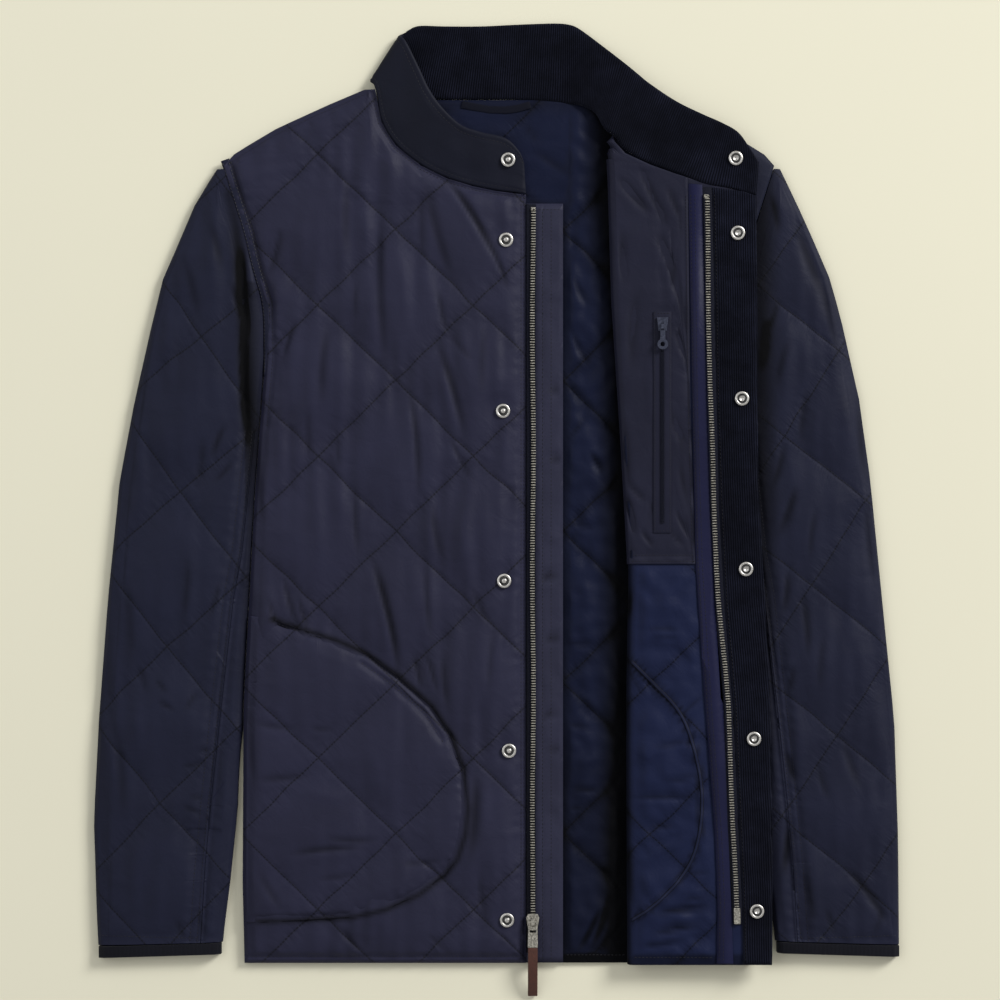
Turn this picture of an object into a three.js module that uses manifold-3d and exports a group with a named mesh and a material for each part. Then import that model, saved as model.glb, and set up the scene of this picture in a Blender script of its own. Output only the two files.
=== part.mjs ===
// Quilted jacket laid flat on its back, zip open, the wearer's left front folded back on itself.
// Millimetres. +X to the wearer's left, +Y to the collar, +Z up. The table is z = 0.
import * as THREE from 'three';
import { mergeVertices } from 'three/addons/utils/BufferGeometryUtils.js';
import Module from 'manifold-3d';

const wasm = await Module();
wasm.setup();

// Cloth
const SEAM_GAP = 0.3;
const WALL = 3;
const RIM_WALL = 1.5;
const RIM_REACH = 6;
const RIM = 3;
const AIR = 3.6;
const ROUNDING = 22;
const PUFF = 3.4;
const LINING_PUFF = 2.2;
const HIDDEN_PUFF = 0.9;
const HEM_Y = -376;
const BACK_NECK_Y = 342;
const SHOULDER_TOP_Y = 350;

// Quilting: diamonds on a lattice, three grid cells to each half diamond
const DIAMOND = { halfWidth: 64.6, halfHeight: 62.7, crossX: 150.2, crossY: -79.7 };
// Where two lines of the back lining's quilting cross.
const BACK_CROSS = { x: 53.3, y: -142.4 };
const CELLS = 3;

// Half outline of the body: side seam, armhole, then shoulder line up to the neck
const SIDE = [
  { y: -376, x: 211.7 }, { y: -310, x: 213.3 }, { y: -157, x: 212.5 }, { y: -82, x: 208.3 },
  { y: 12, x: 203.4 }, { y: 71, x: 199 }, { y: 129, x: 194.4 }, { y: 172, x: 195 },
];
const ARMHOLE = [{ y: 198, x: 203.4 }, { y: 230, x: 210.5 }, { y: 260, x: 220 }, { y: 288, x: 229 }];
const SHOULDER = [
  { y: 292, x: 226.5 }, { y: 299.6, x: 216 }, { y: 316.2, x: 188.4 }, { y: 332.8, x: 153.6 },
  { y: 350, x: 113 },
];

// Front edge and neck seam of the wearer's right front
const FRONT_EDGE_X = 22.4;
const NECK_RIGHT = [
  { y: 263.1, x: 22.4 }, { y: 265.6, x: -1.2 }, { y: 269.8, x: -22.4 }, { y: 276.4, x: -43.6 },
  { y: 286.7, x: -64.7 }, { y: 303.8, x: -85.9 }, { y: 323, x: -97.5 }, { y: 350, x: -102.9 },
];

// Fold line, free edge and neck seam of the wearer's left front, turned back over itself
const FOLD = [
  { y: -376, x: 106.2 }, { y: -157, x: 105.4 }, { y: -45, x: 107.4 }, { y: 51, x: 102 },
  { y: 175, x: 94 }, { y: 275, x: 91 }, { y: 314, x: 88.8 }, { y: 350, x: 88.8 },
];
const FREE_EDGE = [
  { y: -376, x: 226 }, { y: -323, x: 226.6 }, { y: -173, x: 225 }, { y: -115, x: 222.4 },
  { y: -57, x: 219 }, { y: 26, x: 214.5 }, { y: 217, x: 213.2 }, { y: 263.4, x: 213 },
];
const NECK_LEFT = [
  { y: 263.4, x: 213 }, { y: 266, x: 203 }, { y: 269.8, x: 189.2 }, { y: 273, x: 168.2 },
  { y: 279.2, x: 146.9 }, { y: 286.7, x: 125.8 }, { y: 296.3, x: 104.6 }, { y: 306, x: 95.5 },
];
const LOWER_NECK = [{ y: 306, x: 92 }, { y: 323, x: 95 }, { y: 350, x: 101 }];
const ROLL = { outer: 4.65, middle: 3.15, centreZ: 11.55 };

// Sleeves: outer edges, inner edge, the line the quilting is set on with the slant of its rows, front seam
const SLEEVE_OUTER_RIGHT = [
  { y: -369.4, x: 332.8 }, { y: -339.5, x: 334.5 }, { y: -256.5, x: 337 }, { y: -173.5, x: 332.8 },
  { y: -74, x: 325.4 }, { y: 26, x: 315.4 }, { y: 92, x: 303 }, { y: 158.5, x: 288 },
  { y: 192, x: 279.7 }, { y: 225, x: 265.6 }, { y: 258, x: 251.5 }, { y: 289, x: 231.5 },
];
const SLEEVE_OUTER_LEFT = [
  { y: -369.4, x: 332.8 }, { y: -273, x: 332 }, { y: -173.5, x: 328.7 }, { y: -74, x: 318.7 },
  { y: 26, x: 308.8 }, { y: 92, x: 299.6 }, { y: 158.5, x: 284.7 }, { y: 192, x: 275.6 },
  { y: 225, x: 261.5 }, { y: 258, x: 246.5 }, { y: 289, x: 231.5 },
];
const SLEEVE_INNER_LOW = [
  { y: -369.4, x: 231 }, { y: -342, x: 228.3 }, { y: -310, x: 224 }, { y: -273, x: 220.3 },
  { y: -251.5, x: 217.8 }, { y: -220, x: 216.6 }, { y: -190, x: 214.6 },
];
const QUILTING_RIGHT = {
  halfWidth: 60,
  halfHeight: 64.5,
  crossY: 16,
  columns: [-2, -1, 0, 1, 2],
  line: [
    { y: -370, x: 283.5, slant: -0.03 }, { y: -241, x: 280.5, slant: 0.04 },
    { y: -114.5, x: 275, slant: 0.08 }, { y: 16, x: 265, slant: 0.13 }, { y: 145, x: 247, slant: 0.15 },
    { y: 230, x: 236, slant: 0.1 }, { y: 289, x: 230, slant: 0 },
  ],
};
const QUILTING_LEFT = {
  halfWidth: 57,
  halfHeight: 62.2,
  crossY: 62.7,
  columns: [-3, -2, -1, 0, 1, 2, 3],
  line: [
    { y: -370, x: 311, slant: -0.03 }, { y: -357, x: 309, slant: -0.03 }, { y: -311, x: 302, slant: 0.06 },
    { y: -186, x: 280.5, slant: 0.13 }, { y: -59, x: 259, slant: 0.15 }, { y: 62.7, x: 236.6, slant: 0.15 },
    { y: 187, x: 215, slant: 0.12 }, { y: 289, x: 199, slant: 0 },
  ],
};
const SLEEVE_TOP_Y = 284;
const FRONT_SEAM = [
  { y: -370, x: 248.6 }, { y: -294, x: 244 }, { y: -241, x: 239 }, { y: -177.6, x: 232.4 },
  { y: -129.5, x: 227 }, { y: -71, x: 220.3 }, { y: -35, x: 213.6 }, { y: 26, x: 207 },
  { y: 66, x: 203 },
];
const SEAM_EDGE = { width: 2.4, low: 1, high: 4.2 };
const CUFF = {
  topY: -359.6, endY: -369.8, slotLow: 3.1, slotHigh: 6.7, height: 9.8, edge: 2.2, corner: 3.2, slope: 1.6,
};

// Curved hip pocket on the right front, and the bound seam of the left one on the lining
const HIP_POCKET = [
  { x: -188.4, y: -89.6 }, { x: -162, y: -98.8 }, { x: -135.3, y: -107 }, { x: -108.7, y: -118.7 },
  { x: -82.2, y: -137.8 }, { x: -55.6, y: -161.5 }, { x: -39.8, y: -185 }, { x: -29, y: -214.6 },
  { x: -25.7, y: -246.5 }, { x: -27.7, y: -267.8 }, { x: -34.4, y: -288.8 }, { x: -44.8, y: -302 },
  { x: -66.4, y: -318 }, { x: -93, y: -330 }, { x: -122, y: -337 }, { x: -162, y: -339.5 },
];
const HIP_POCKET_SIDE = { topY: -87, lowY: -342, inset: 2 };
const BOUND_SEAM = [
  { x: 116, y: -129 }, { x: 130.8, y: -143.6 }, { x: 149, y: -164 }, { x: 159.4, y: -187 },
  { x: 165, y: -214 }, { x: 166, y: -243 }, { x: 163.5, y: -279 }, { x: 158, y: -297.6 },
  { x: 144.4, y: -313 }, { x: 126.2, y: -324.5 }, { x: 114, y: -331.5 },
];
const BOUND_SEAM_WIDTH = 6;

// Zip, wind flap and what lies on the folded front
const FLAP = { left: 22.8, right: 53.2, topY: 255.6, low: 3.3, high: 5.2 };
const TAPE_RIGHT = { left: 22.8, right: 30.6, low: 5.5, high: 6.4 };
const TEETH = { halfWidth: 2.2, height: 1.5 };
const ZIP_LEFT = [
  { y: -376, x: 197.5 }, { y: -323, x: 196.7 }, { y: -240, x: 193 }, { y: -157, x: 189.2 },
  { y: -74, x: 181.8 }, { y: 9, x: 177.6 }, { y: 92, x: 175 }, { y: 175, x: 173.6 }, { y: 264, x: 171.8 },
];
const STRIP_LEFT_EDGE = [
  { y: -376, x: 180 }, { y: -323, x: 181 }, { y: -265, x: 178.5 }, { y: -173.5, x: 171 },
  { y: -45, x: 162.7 }, { y: 92, x: 158.5 }, { y: 275, x: 156.5 },
];
const LEFT_ZIP_SPAN = { lowY: -342, highY: 262 };
const CHEST_PANEL = { lowY: -44, thick: 1.1 };
const CHEST_ZIP = { x: 135.2, lowY: -10, highY: 157, halfWidth: 7.4, margin: 8 };

// Snaps, 12 mm across: radius and height along the ring, the sprung stud and the socket's well
const SNAP_RING = [[0, 0], [5.4, 0], [6, 0.7], [5.2, 1.7], [3.8, 1.7]];
const SNAP_STUD = [[2.6, 0.8], [2.1, 2.6], [0, 2.8]];
const SNAP_WELL = [[2.6, 0.85], [0, 0.85]];
const SNAP_STEPS = 10;
const SNAP_RADIUS = 6;
const STUDS = [
  { x: 5.8, y: 225 }, { x: 3.3, y: 83 }, { x: 4.2, y: -58 }, { x: 8.3, y: -199 }, { x: 6.6, y: -339.5 },
];
const SOCKETS = [
  { x: 197.5, y: 230 }, { x: 200.9, y: 93 }, { x: 204.2, y: -48 }, { x: 210.8, y: -188.4 },
  { x: 213.3, y: -331 },
];
const COLLAR_STUD = { x: 7.5, y: 291.3 };
const COLLAR_SOCKET = { x: 195.9, y: 292 };

// Collar: seam and top edge, from the right front end round the back neck to the left front end
const COLLAR = [
  { seam: [22.4, 263.6, 7.6], top: [20.8, 288.8, 8.4] },
  { seam: [11, 264.9, 8], top: [16.5, 299, 9.2] },
  { seam: [-1.2, 266.2, 8.2], top: [5, 309.6, 10.2] },
  { seam: [-22.2, 270.4, 8.4], top: [-15.8, 314.6, 11.6] },
  { seam: [-43.3, 277, 8.6], top: [-32, 320.5, 12.6] },
  { seam: [-64.2, 287.2, 8.8], top: [-47, 334.5, 13] },
  { seam: [-85.4, 304.2, 9], top: [-58, 350, 13] },
  { seam: [-97, 323.2, 9], top: [-66, 367, 12.4] },
  { seam: [-100.8, 343, 8.8], top: [-75.5, 386.5, 10.8] },
  { seam: [-103.6, 353.6, 8], top: [-79.3, 392.5, 9.2] },
  { seam: [-106.5, 356.5, 5.2], top: [-81.5, 395.2, 5.6] },
  { seam: [-104.2, 355.8, 2.4], top: [-79.4, 397, 2.3] },
  { seam: [-98.5, 352.5, 1.8], top: [-75, 400.5, 1.8] },
  { seam: [-82, 345.2, 1.8], top: [-66, 403.8, 1.8] },
  { seam: [-57.3, 342.8, 1.8], top: [-45, 403.4, 1.8] },
  { seam: [-22, 342.5, 1.8], top: [-15, 403.4, 1.8] },
  { seam: [11.6, 342.5, 1.8], top: [15, 404.8, 1.8] },
  { seam: [41.5, 342.8, 1.8], top: [45, 405.8, 1.8] },
  { seam: [58, 343.4, 2.2], top: [58, 404.8, 2] },
  { seam: [68, 343.2, 5.6], top: [67, 401, 2.6] },
  { seam: [80, 330, 9.6], top: [83.5, 388.4, 5.4] },
  { seam: [87.2, 317, 14], top: [104.6, 371.3, 9.6] },
  { seam: [96.2, 309.4, 14.7], top: [115, 362.5, 11] },
  { seam: [105.4, 298.2, 14.7], top: [125.8, 353.6, 12] },
  { seam: [126, 287.3, 14.7], top: [146.9, 339.5, 12.8] },
  { seam: [147.1, 279.8, 14.7], top: [168.2, 329, 13.2] },
  { seam: [168.4, 273.6, 14.7], top: [184, 322, 13.4] },
  { seam: [189.4, 270.4, 14.7], top: [197.5, 314.2, 13.6] },
  { seam: [203.2, 266.6, 14.7], top: [206.5, 302.5, 13.8] },
  { seam: [213, 264, 14.7], top: [215, 288.8, 14] },
];
const COLLAR_OUTER = { low: 0.15, high: 1.8 };
const COLLAR_CORDUROY = { low: 0.15, high: 2 };
const HANGER_LOOP = { width: 6, low: 3.3, high: 4.4 };
const HANGER_PATH = [
  { x: -31, y: 338.3 }, { x: -20, y: 336 }, { x: -8, y: 334 }, { x: 6, y: 333.6 },
  { x: 16, y: 335 }, { x: 26, y: 338 },
];

// Sliders and pulls
const SLIDER = { x: 28, topY: -334.5, lowY: -348, halfTop: 5.4, halfLow: 3.6, low: 8.4, thick: 2.2 };
const BRIDGE = { y: -341, halfWidth: 1.6, rise: 4.2, span: 7.2, bar: 1.3 };
const PULL = { length: 21, halfWidth: 4.2, thick: 1.5, z: 12.1 };
const LEATHER = [
  { y: -362.3, z: 12.1 }, { y: -366, z: 12 }, { y: -374, z: 11.6 }, { y: -382, z: 10.4 },
  { y: -390, z: 8.2 }, { y: -397, z: 5.4 }, { y: -403.5, z: 2.4 },
];
const LEATHER_SECTION = { halfWidth: 4, thick: 2.4 };
const CHEST_SLIDER = { topY: 160, lowY: 149, halfTop: 4.6, halfLow: 3.4, thick: 1.8 };
const CHEST_BRIDGE = { halfWidth: 1.3, rise: 3.9, span: 6, bar: 1.1 };
const CHEST_TEETH = { halfWidth: 1.8, height: 0.9 };
const CHEST_PULL = { pivotY: 152.5, length: 19, halfWidth: 3.2, thick: 1.1 };

const jacket = new THREE.Group();

const finish = (color, roughness, metalness = 0) =>
  new THREE.MeshStandardMaterial({ color, roughness, metalness, side: THREE.DoubleSide });
const shell = finish(0x2d2e41, 0.62);
const lining = finish(0x262b52, 0.5);
const corduroy = finish(0x101625, 0.9);
const binding = finish(0x11121f, 0.8);
const nickel = finish(0xc4c4c2, 0.3, 1);
const brass = finish(0x77715f, 0.38, 1);
const tape = finish(0x15161f, 0.8);
const leather = finish(0x5a2d1c, 0.55);

function place(name, geometry, material) {
  geometry.computeVertexNormals();
  const mesh = new THREE.Mesh(geometry, material);
  mesh.name = name;
  jacket.add(mesh);
  return mesh;
}

const clamp = THREE.MathUtils.clamp;
const ease = THREE.MathUtils.smoothstep;

// Straight reading of one column of a table against another, held at its ends
function reader(table, out, key = 'y') {
  return (value) => {
    const above = table.findIndex((row) => row[key] >= value);
    if (above <= 0) {
      return table[above === 0 ? 0 : table.length - 1][out];
    }
    const from = table[above - 1];
    const to = table[above];
    return from[out] + ((to[out] - from[out]) * (value - from[key])) / (to[key] - from[key]);
  };
}

const halfWidth = reader([...SIDE, ...ARMHOLE, ...SHOULDER], 'x');
const neckRight = reader(NECK_RIGHT, 'x');
const foldAt = reader(FOLD, 'x');
const freeEdge = reader(FREE_EDGE, 'x');
const neckLeft = reader(NECK_LEFT, 'x');
const lowerNeck = reader(LOWER_NECK, 'x');
const zipLeft = reader(ZIP_LEFT, 'x');
const stripEdge = reader(STRIP_LEFT_EDGE, 'x');
const sleeveInnerLow = reader(SLEEVE_INNER_LOW, 'x');

// Quarter round from 0 at an edge to 1 at its reach
const quarterRound = (distance, reach) => Math.sqrt(1 - (1 - clamp(distance / reach, 0, 1)) ** 2);

// Rise of a diamond, 0 on the stitch lines and 1 at its middle
function puffAt(across, along) {
  const one = Math.abs(Math.sin((Math.PI * (across + along)) / 2));
  const other = Math.abs(Math.sin((Math.PI * (across - along)) / 2));
  return (one * other) ** 0.55;
}

// A cell's diagonal runs with the nearer stitch line
function leansRight(across, along) {
  const fromEven = (value) => Math.abs(value / 2 - Math.round(value / 2));
  return fromEven(across - along) < fromEven(across + along);
}

// Column places in ascending order between two ends, squeezed where the cloth is narrow
function spread(raw, low, high) {
  const last = raw.length - 1;
  const least = Math.min(1.2, (high - low) / last);
  const places = [];
  raw.forEach((value, k) => {
    const floor = k === 0 ? low : places[k - 1] + least;
    places.push(Math.min(Math.max(value, floor), high - (last - k) * least));
  });
  places[last] = high;
  return places;
}

// Distance to the nearest edge line, each point of which may count as a little further away
function edgeLine(xAt, fromY, toY, liftAt = () => 0, step = 12) {
  const count = Math.ceil((toY - fromY) / step);
  return Array.from({ length: count + 1 }, (_, k) => {
    const y = fromY + ((toY - fromY) * k) / count;
    return { x: xAt(y), y, lift: liftAt(y) };
  });
}

function distanceTo(lines, x, y) {
  let best = Infinity;
  lines.forEach((line) => {
    for (let k = 1; k < line.length; k += 1) {
      const a = line[k - 1];
      const b = line[k];
      const dx = b.x - a.x;
      const dy = b.y - a.y;
      const t = clamp(((x - a.x) * dx + (y - a.y) * dy) / (dx * dx + dy * dy), 0, 1);
      const lift = a.lift + (b.lift - a.lift) * t;
      best = Math.min(best, Math.hypot(x - a.x - dx * t, y - a.y - dy * t) + lift);
    }
  });
  return best;
}

// Closed wall between two grids of points whose outer columns and rows meet
function closedWall(top, base) {
  const positions = [];
  const index = [];
  const numbered = (grid) => grid.map((row) => row.map((p) => positions.push(p.x, p.y, p.z) / 3 - 1));
  const upper = numbered(top);
  const lower = numbered(base);
  const face = (grid, points, turned) => {
    for (let r = 1; r < grid.length; r += 1) {
      for (let c = 1; c < grid[r].length; c += 1) {
        const p = points[r - 1][c - 1];
        const q = points[r][c];
        const right = p.across === undefined
          || leansRight((p.across + q.across) / 2, (p.along + q.along) / 2);
        const [a, b, d, e] = [grid[r - 1][c - 1], grid[r - 1][c], grid[r][c], grid[r][c - 1]];
        const pair = right ? [[a, b, d], [a, d, e]] : [[a, b, e], [b, d, e]];
        pair.forEach((tri) => index.push(...(turned ? tri.reverse() : tri)));
      }
    }
  };
  face(upper, top, false);
  face(lower, base, true);
  const around = (grid) => {
    const end = grid.length - 1;
    return [
      grid[0],
      grid.map((row) => row[row.length - 1]),
      [...grid[end]].reverse(),
      grid.map((row) => row[0]).reverse(),
    ];
  };
  const at = (k) => new THREE.Vector3(...positions.slice(3 * k, 3 * k + 3));
  const measured = (chain) => {
    const lengths = [0];
    for (let k = 1; k < chain.length; k += 1) {
      lengths.push(lengths[k - 1] + at(chain[k]).distanceTo(at(chain[k - 1])));
    }
    return lengths.map((length) => length / lengths[lengths.length - 1]);
  };
  const lowerSides = around(lower);
  around(upper).forEach((chain, side) => {
    const other = lowerSides[side];
    const s = measured(chain);
    const t = measured(other);
    let i = 0;
    let j = 0;
    while (i < chain.length - 1 || j < other.length - 1) {
      if (j === other.length - 1 || (i < chain.length - 1 && s[i + 1] <= t[j + 1])) {
        index.push(chain[i + 1], chain[i], other[j]);
        i += 1;
      } else {
        index.push(chain[i], other[j], other[j + 1]);
        j += 1;
      }
    }
  });
  const geometry = new THREE.BufferGeometry();
  geometry.setAttribute('position', new THREE.Float32BufferAttribute(positions, 3));
  geometry.setIndex(index);
  return facingOut(geometry);
}

function facingOut(geometry) {
  const { array } = geometry.attributes.position;
  const faces = geometry.index.array;
  const corner = (k) => new THREE.Vector3().fromArray(array, 3 * faces[k]);
  let volume = 0;
  for (let k = 0; k < faces.length; k += 3) {
    volume += corner(k).dot(corner(k + 1).cross(corner(k + 2)));
  }
  if (volume < 0) {
    geometry.setIndex([...faces].reverse());
  }
  return geometry;
}

// Joining and cutting
function solidOf(geometry) {
  const bare = geometry.clone();
  bare.deleteAttribute('normal');
  bare.deleteAttribute('uv');
  const merged = mergeVertices(bare, 1e-4);
  return new wasm.Manifold(new wasm.Mesh({
    numProp: 3,
    vertProperties: Float32Array.from(merged.attributes.position.array),
    triVerts: Uint32Array.from(merged.index.array),
  }));
}

function geometryOf(solid) {
  const mesh = solid.getMesh();
  const geometry = new THREE.BufferGeometry();
  geometry.setAttribute('position', new THREE.Float32BufferAttribute(mesh.vertProperties, 3));
  geometry.setIndex([...mesh.triVerts]);
  return geometry;
}

function prism(outline, low = -5, high = 60) {
  const shape = new THREE.Shape(outline.map((p) => new THREE.Vector2(p.x, p.y)));
  const geometry = new THREE.ExtrudeGeometry(shape, { depth: high - low, bevelEnabled: false });
  geometry.translate(0, 0, low);
  return solidOf(geometry);
}

// A wall that lies on a grid of points, cut to an outline
function layOn(grid, low, high, outline) {
  const moved = (distance) => grid.map((row) => row.map((p) => ({
    x: p.x + p.nx * distance, y: p.y, z: p.z + p.nz * distance, across: p.across, along: p.along,
  })));
  return geometryOf(solidOf(closedWall(moved(high), moved(low))).intersect(prism(outline)));
}

// A flat band between two edges
function band(leftAt, rightAt, lowY, highY, low, high, step = 30) {
  const count = Math.max(1, Math.round((highY - lowY) / step));
  const grid = (z) => Array.from({ length: count + 1 }, (_, k) => {
    const y = lowY + ((highY - lowY) * k) / count;
    return [{ x: leftAt(y), y, z }, { x: rightAt(y), y, z }];
  });
  return closedWall(grid(high), grid(low));
}

function ribbonOutline(path, width) {
  const side = (sign) => path.map((p, k) => {
    const a = path[Math.max(k - 1, 0)];
    const b = path[Math.min(k + 1, path.length - 1)];
    const length = Math.hypot(b.x - a.x, b.y - a.y);
    const reach = (sign * width) / 2 / length;
    return { x: p.x - (b.y - a.y) * reach, y: p.y + (b.x - a.x) * reach };
  });
  return [...side(1), ...side(-1).reverse()];
}

// Rows of the body: hem, quilting rows, then each knot of the neck
const quiltRow = DIAMOND.halfHeight / CELLS;
const quiltColumn = DIAMOND.halfWidth / CELLS;
const rowsFrom = (low, cross, step) => cross - Math.floor((cross - low) / step) * step;
const bodyRows = (topY, knots = []) => {
  const rows = [HEM_Y, HEM_Y + RIM, HEM_Y + RIM_REACH + 5];
  for (let y = rowsFrom(HEM_Y + RIM_REACH + 5, DIAMOND.crossY, quiltRow); y < topY - 4; y += quiltRow) {
    rows.push(y);
  }
  const spaced = rows.filter((y) => knots.every((knot) => Math.abs(knot - y) > 2.6));
  return [...spaced, ...knots, topY].sort((a, b) => a - b);
};

const neckLift = 9;
const shoulderLift = 11;
const armholeLift = (y) => (y > 289 ? 0 : shoulderLift * ease(y, 180, 286));
const bodySide = (sign) => [
  edgeLine((y) => sign * halfWidth(y), HEM_Y, 290, armholeLift),
  edgeLine((y) => sign * halfWidth(y), 292, SHOULDER_TOP_Y),
];
const hemLine = [{ x: -240, y: HEM_Y, lift: 0 }, { x: 240, y: HEM_Y, lift: 0 }];

// Wearer's right front, shell up
const rightLines = [
  ...bodySide(-1),
  hemLine,
  edgeLine(() => FRONT_EDGE_X, HEM_Y, 263),
  NECK_RIGHT.map((p) => ({ ...p, lift: neckLift })),
];
const snapCalm = (x, y) => STUDS.reduce(
  (calm, snap) => calm * ease(Math.hypot(x - snap.x, y - snap.y), 8, 24),
  1,
);

function rightFrontPoint(x, y) {
  const distance = distanceTo(rightLines, x, y);
  const across = (x + DIAMOND.crossX) / DIAMOND.halfWidth;
  const along = (y - DIAMOND.crossY) / DIAMOND.halfHeight;
  const inside = WALL + SEAM_GAP + AIR * quarterRound(distance, ROUNDING);
  const wall = RIM_WALL + (WALL - RIM_WALL) * quarterRound(distance, RIM_REACH);
  const puff = PUFF * puffAt(across, along) * ease(distance, 4, 26) * snapCalm(x, y);
  return { x, y, inside, z: inside + wall + puff, across, along, nx: 0, nz: 1 };
}

const rightColumns = Array.from({ length: 9 }, (_, k) => -DIAMOND.crossX + (k - 1) * quiltColumn);
const rightGrid = bodyRows(SHOULDER_TOP_Y, NECK_RIGHT.slice(0, -1).map((p) => p.y)).map((y) => {
  const low = -halfWidth(y);
  const high = neckRight(y);
  const raw = [low, low + RIM, low + 11, ...rightColumns, high - 10, high - RIM, high];
  return spread(raw, low, high).map((x) => rightFrontPoint(x, y));
});
const plainInside = (grid, kept) => grid.map((row) => kept(row.length).map((c) => (
  { x: row[c].x, y: row[c].y, z: row[c].inside }
)));
const edgeColumns = (count) => [0, 1, 2, count - 3, count - 2, count - 1];
const rightFront = place('front_right', closedWall(rightGrid, plainInside(rightGrid, edgeColumns)), shell);

// Curved hip pocket, quilted with the front it is sewn on
const pocketSide = (y) => -halfWidth(y) + HIP_POCKET_SIDE.inset;
const pocketOutline = [
  { x: pocketSide(HIP_POCKET_SIDE.topY), y: HIP_POCKET_SIDE.topY },
  ...HIP_POCKET,
  { x: pocketSide(HIP_POCKET_SIDE.lowY), y: HIP_POCKET_SIDE.lowY },
  { x: pocketSide(-210), y: -210 },
];
place('pocket_right', layOn(rightGrid, SEAM_GAP, 1.5, pocketOutline), shell);

// Back, flat on the table; its lining is quilted where the open front shows it
const openingLeft = FLAP.right + 1;
const backColumns = [-100, 20, openingLeft - 1, openingLeft + 6, 72, 85.6, 98, 107];
const backGrid = bodyRows(BACK_NECK_Y).map((y) => {
  const side = halfWidth(y);
  const raw = [-side, -side + 10, ...backColumns, side - 10, side];
  return spread(raw, -side, side).map((x) => {
    const across = (x - BACK_CROSS.x) / DIAMOND.halfWidth;
    const along = (y - BACK_CROSS.y) / DIAMOND.halfHeight;
    const shown = ease(x, openingLeft, openingLeft + 8) * ease(foldAt(y) - 1 - x, 0, 8);
    const depth = LINING_PUFF * puffAt(across, along) * shown * ease(y, HEM_Y + 4, HEM_Y + 20);
    return { x, y, z: WALL + depth * ease(BACK_NECK_Y - 12 - y, 0, 20), inside: 0, across, along };
  });
});
place('back', closedWall(backGrid, plainInside(backGrid, (count) => [0, 5, count - 1])), lining);

// Wearer's left front: its section runs from the side seam to the fold, rolls over and comes back
const leftLines = [...bodySide(1), hemLine];
const foldCentre = (y) => foldAt(y) + ROLL.outer;
const rollLength = Math.PI * ROLL.middle;
const lowerLength = (y) => halfWidth(y) - foldCentre(y);
const upperEnd = (y) => (y <= 263.4 ? freeEdge(y) : neckLeft(y));

function leftLength(y) {
  if (y > 306) {
    return halfWidth(y) - lowerNeck(y);
  }
  return lowerLength(y) + rollLength + Math.max(upperEnd(y) - foldCentre(y), 0);
}

function leftFrontPoint(s, y) {
  const length = leftLength(y);
  const lower = Math.min(lowerLength(y), length);
  const fabricX = halfWidth(y) - s;
  const across = (fabricX - DIAMOND.crossX) / DIAMOND.halfWidth;
  const along = (y - DIAMOND.crossY) / DIAMOND.halfHeight;
  const turn = clamp((s - lower) / ROLL.middle, 0, Math.PI);
  const upper = Math.max(s - lower - rollLength, 0);
  const distance = distanceTo(leftLines, fabricX, y);
  const edge = Math.min(distance, length - s + (y > 300 ? 4 : 0));
  const wall = (RIM_WALL + (WALL - RIM_WALL) * quarterRound(edge, RIM_REACH)) / 2;
  const sink = turn > 0 ? 0 : (AIR + WALL / 2) - AIR * quarterRound(distance, ROUNDING) - wall;
  const x = foldCentre(y) + (turn > 0 ? -ROLL.middle * Math.sin(turn) + upper : fabricX - foldCentre(y));
  const z = ROLL.centreZ - ROLL.middle * Math.cos(turn) - sink;
  const nx = turn > 0 ? Math.sin(turn) : 0;
  const nz = Math.cos(turn);
  const puff = puffAt(across, along);
  const hidden = HIDDEN_PUFF * puff * ease(edge, 6, 20) * ease(Math.abs(s - lower - rollLength / 2), 8, 20);
  const shown = ease(upper, 6, 18) * ease(stripEdge(y) - 3 - x, 0, 14)
    * ease(CHEST_PANEL.lowY - 6 - y, 0, 16) * ease(y, HEM_Y + 6, HEM_Y + 22);
  const out = wall + LINING_PUFF * puff * shown;
  return {
    shellSide: { x: x + nx * (wall + hidden), y, z: z + nz * (wall + hidden), across, along },
    liningSide: { x: x - nx * out, y, z: z - nz * out, nx: -nx, nz: -nz, across, along },
  };
}

const LOWER_COLUMNS = [171.7, 150.2, 128.7];
const UPPER_COLUMNS = [85.6, 64.1, 42.5, 21, 3];
const leftRows = bodyRows(SHOULDER_TOP_Y, NECK_LEFT.map((p) => p.y));
const leftGrid = leftRows.map((y) => {
  const lower = lowerLength(y);
  const length = leftLength(y);
  const raw = [
    0, RIM, 11,
    ...LOWER_COLUMNS.map((x) => Math.min(halfWidth(y) - x, lower - 4)),
    lower,
    ...[0.25, 0.5, 0.75, 1].map((part) => lower + rollLength * part),
    ...UPPER_COLUMNS.map((x) => halfWidth(y) - x),
    length - 9, length - RIM, length,
  ];
  return spread(raw, 0, length).map((s) => leftFrontPoint(s, y));
});
const sideOf = (grid, side) => grid.map((row) => row.map((p) => p[side]));
place('front_left', closedWall(sideOf(leftGrid, 'shellSide'), sideOf(leftGrid, 'liningSide')), lining);

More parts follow.
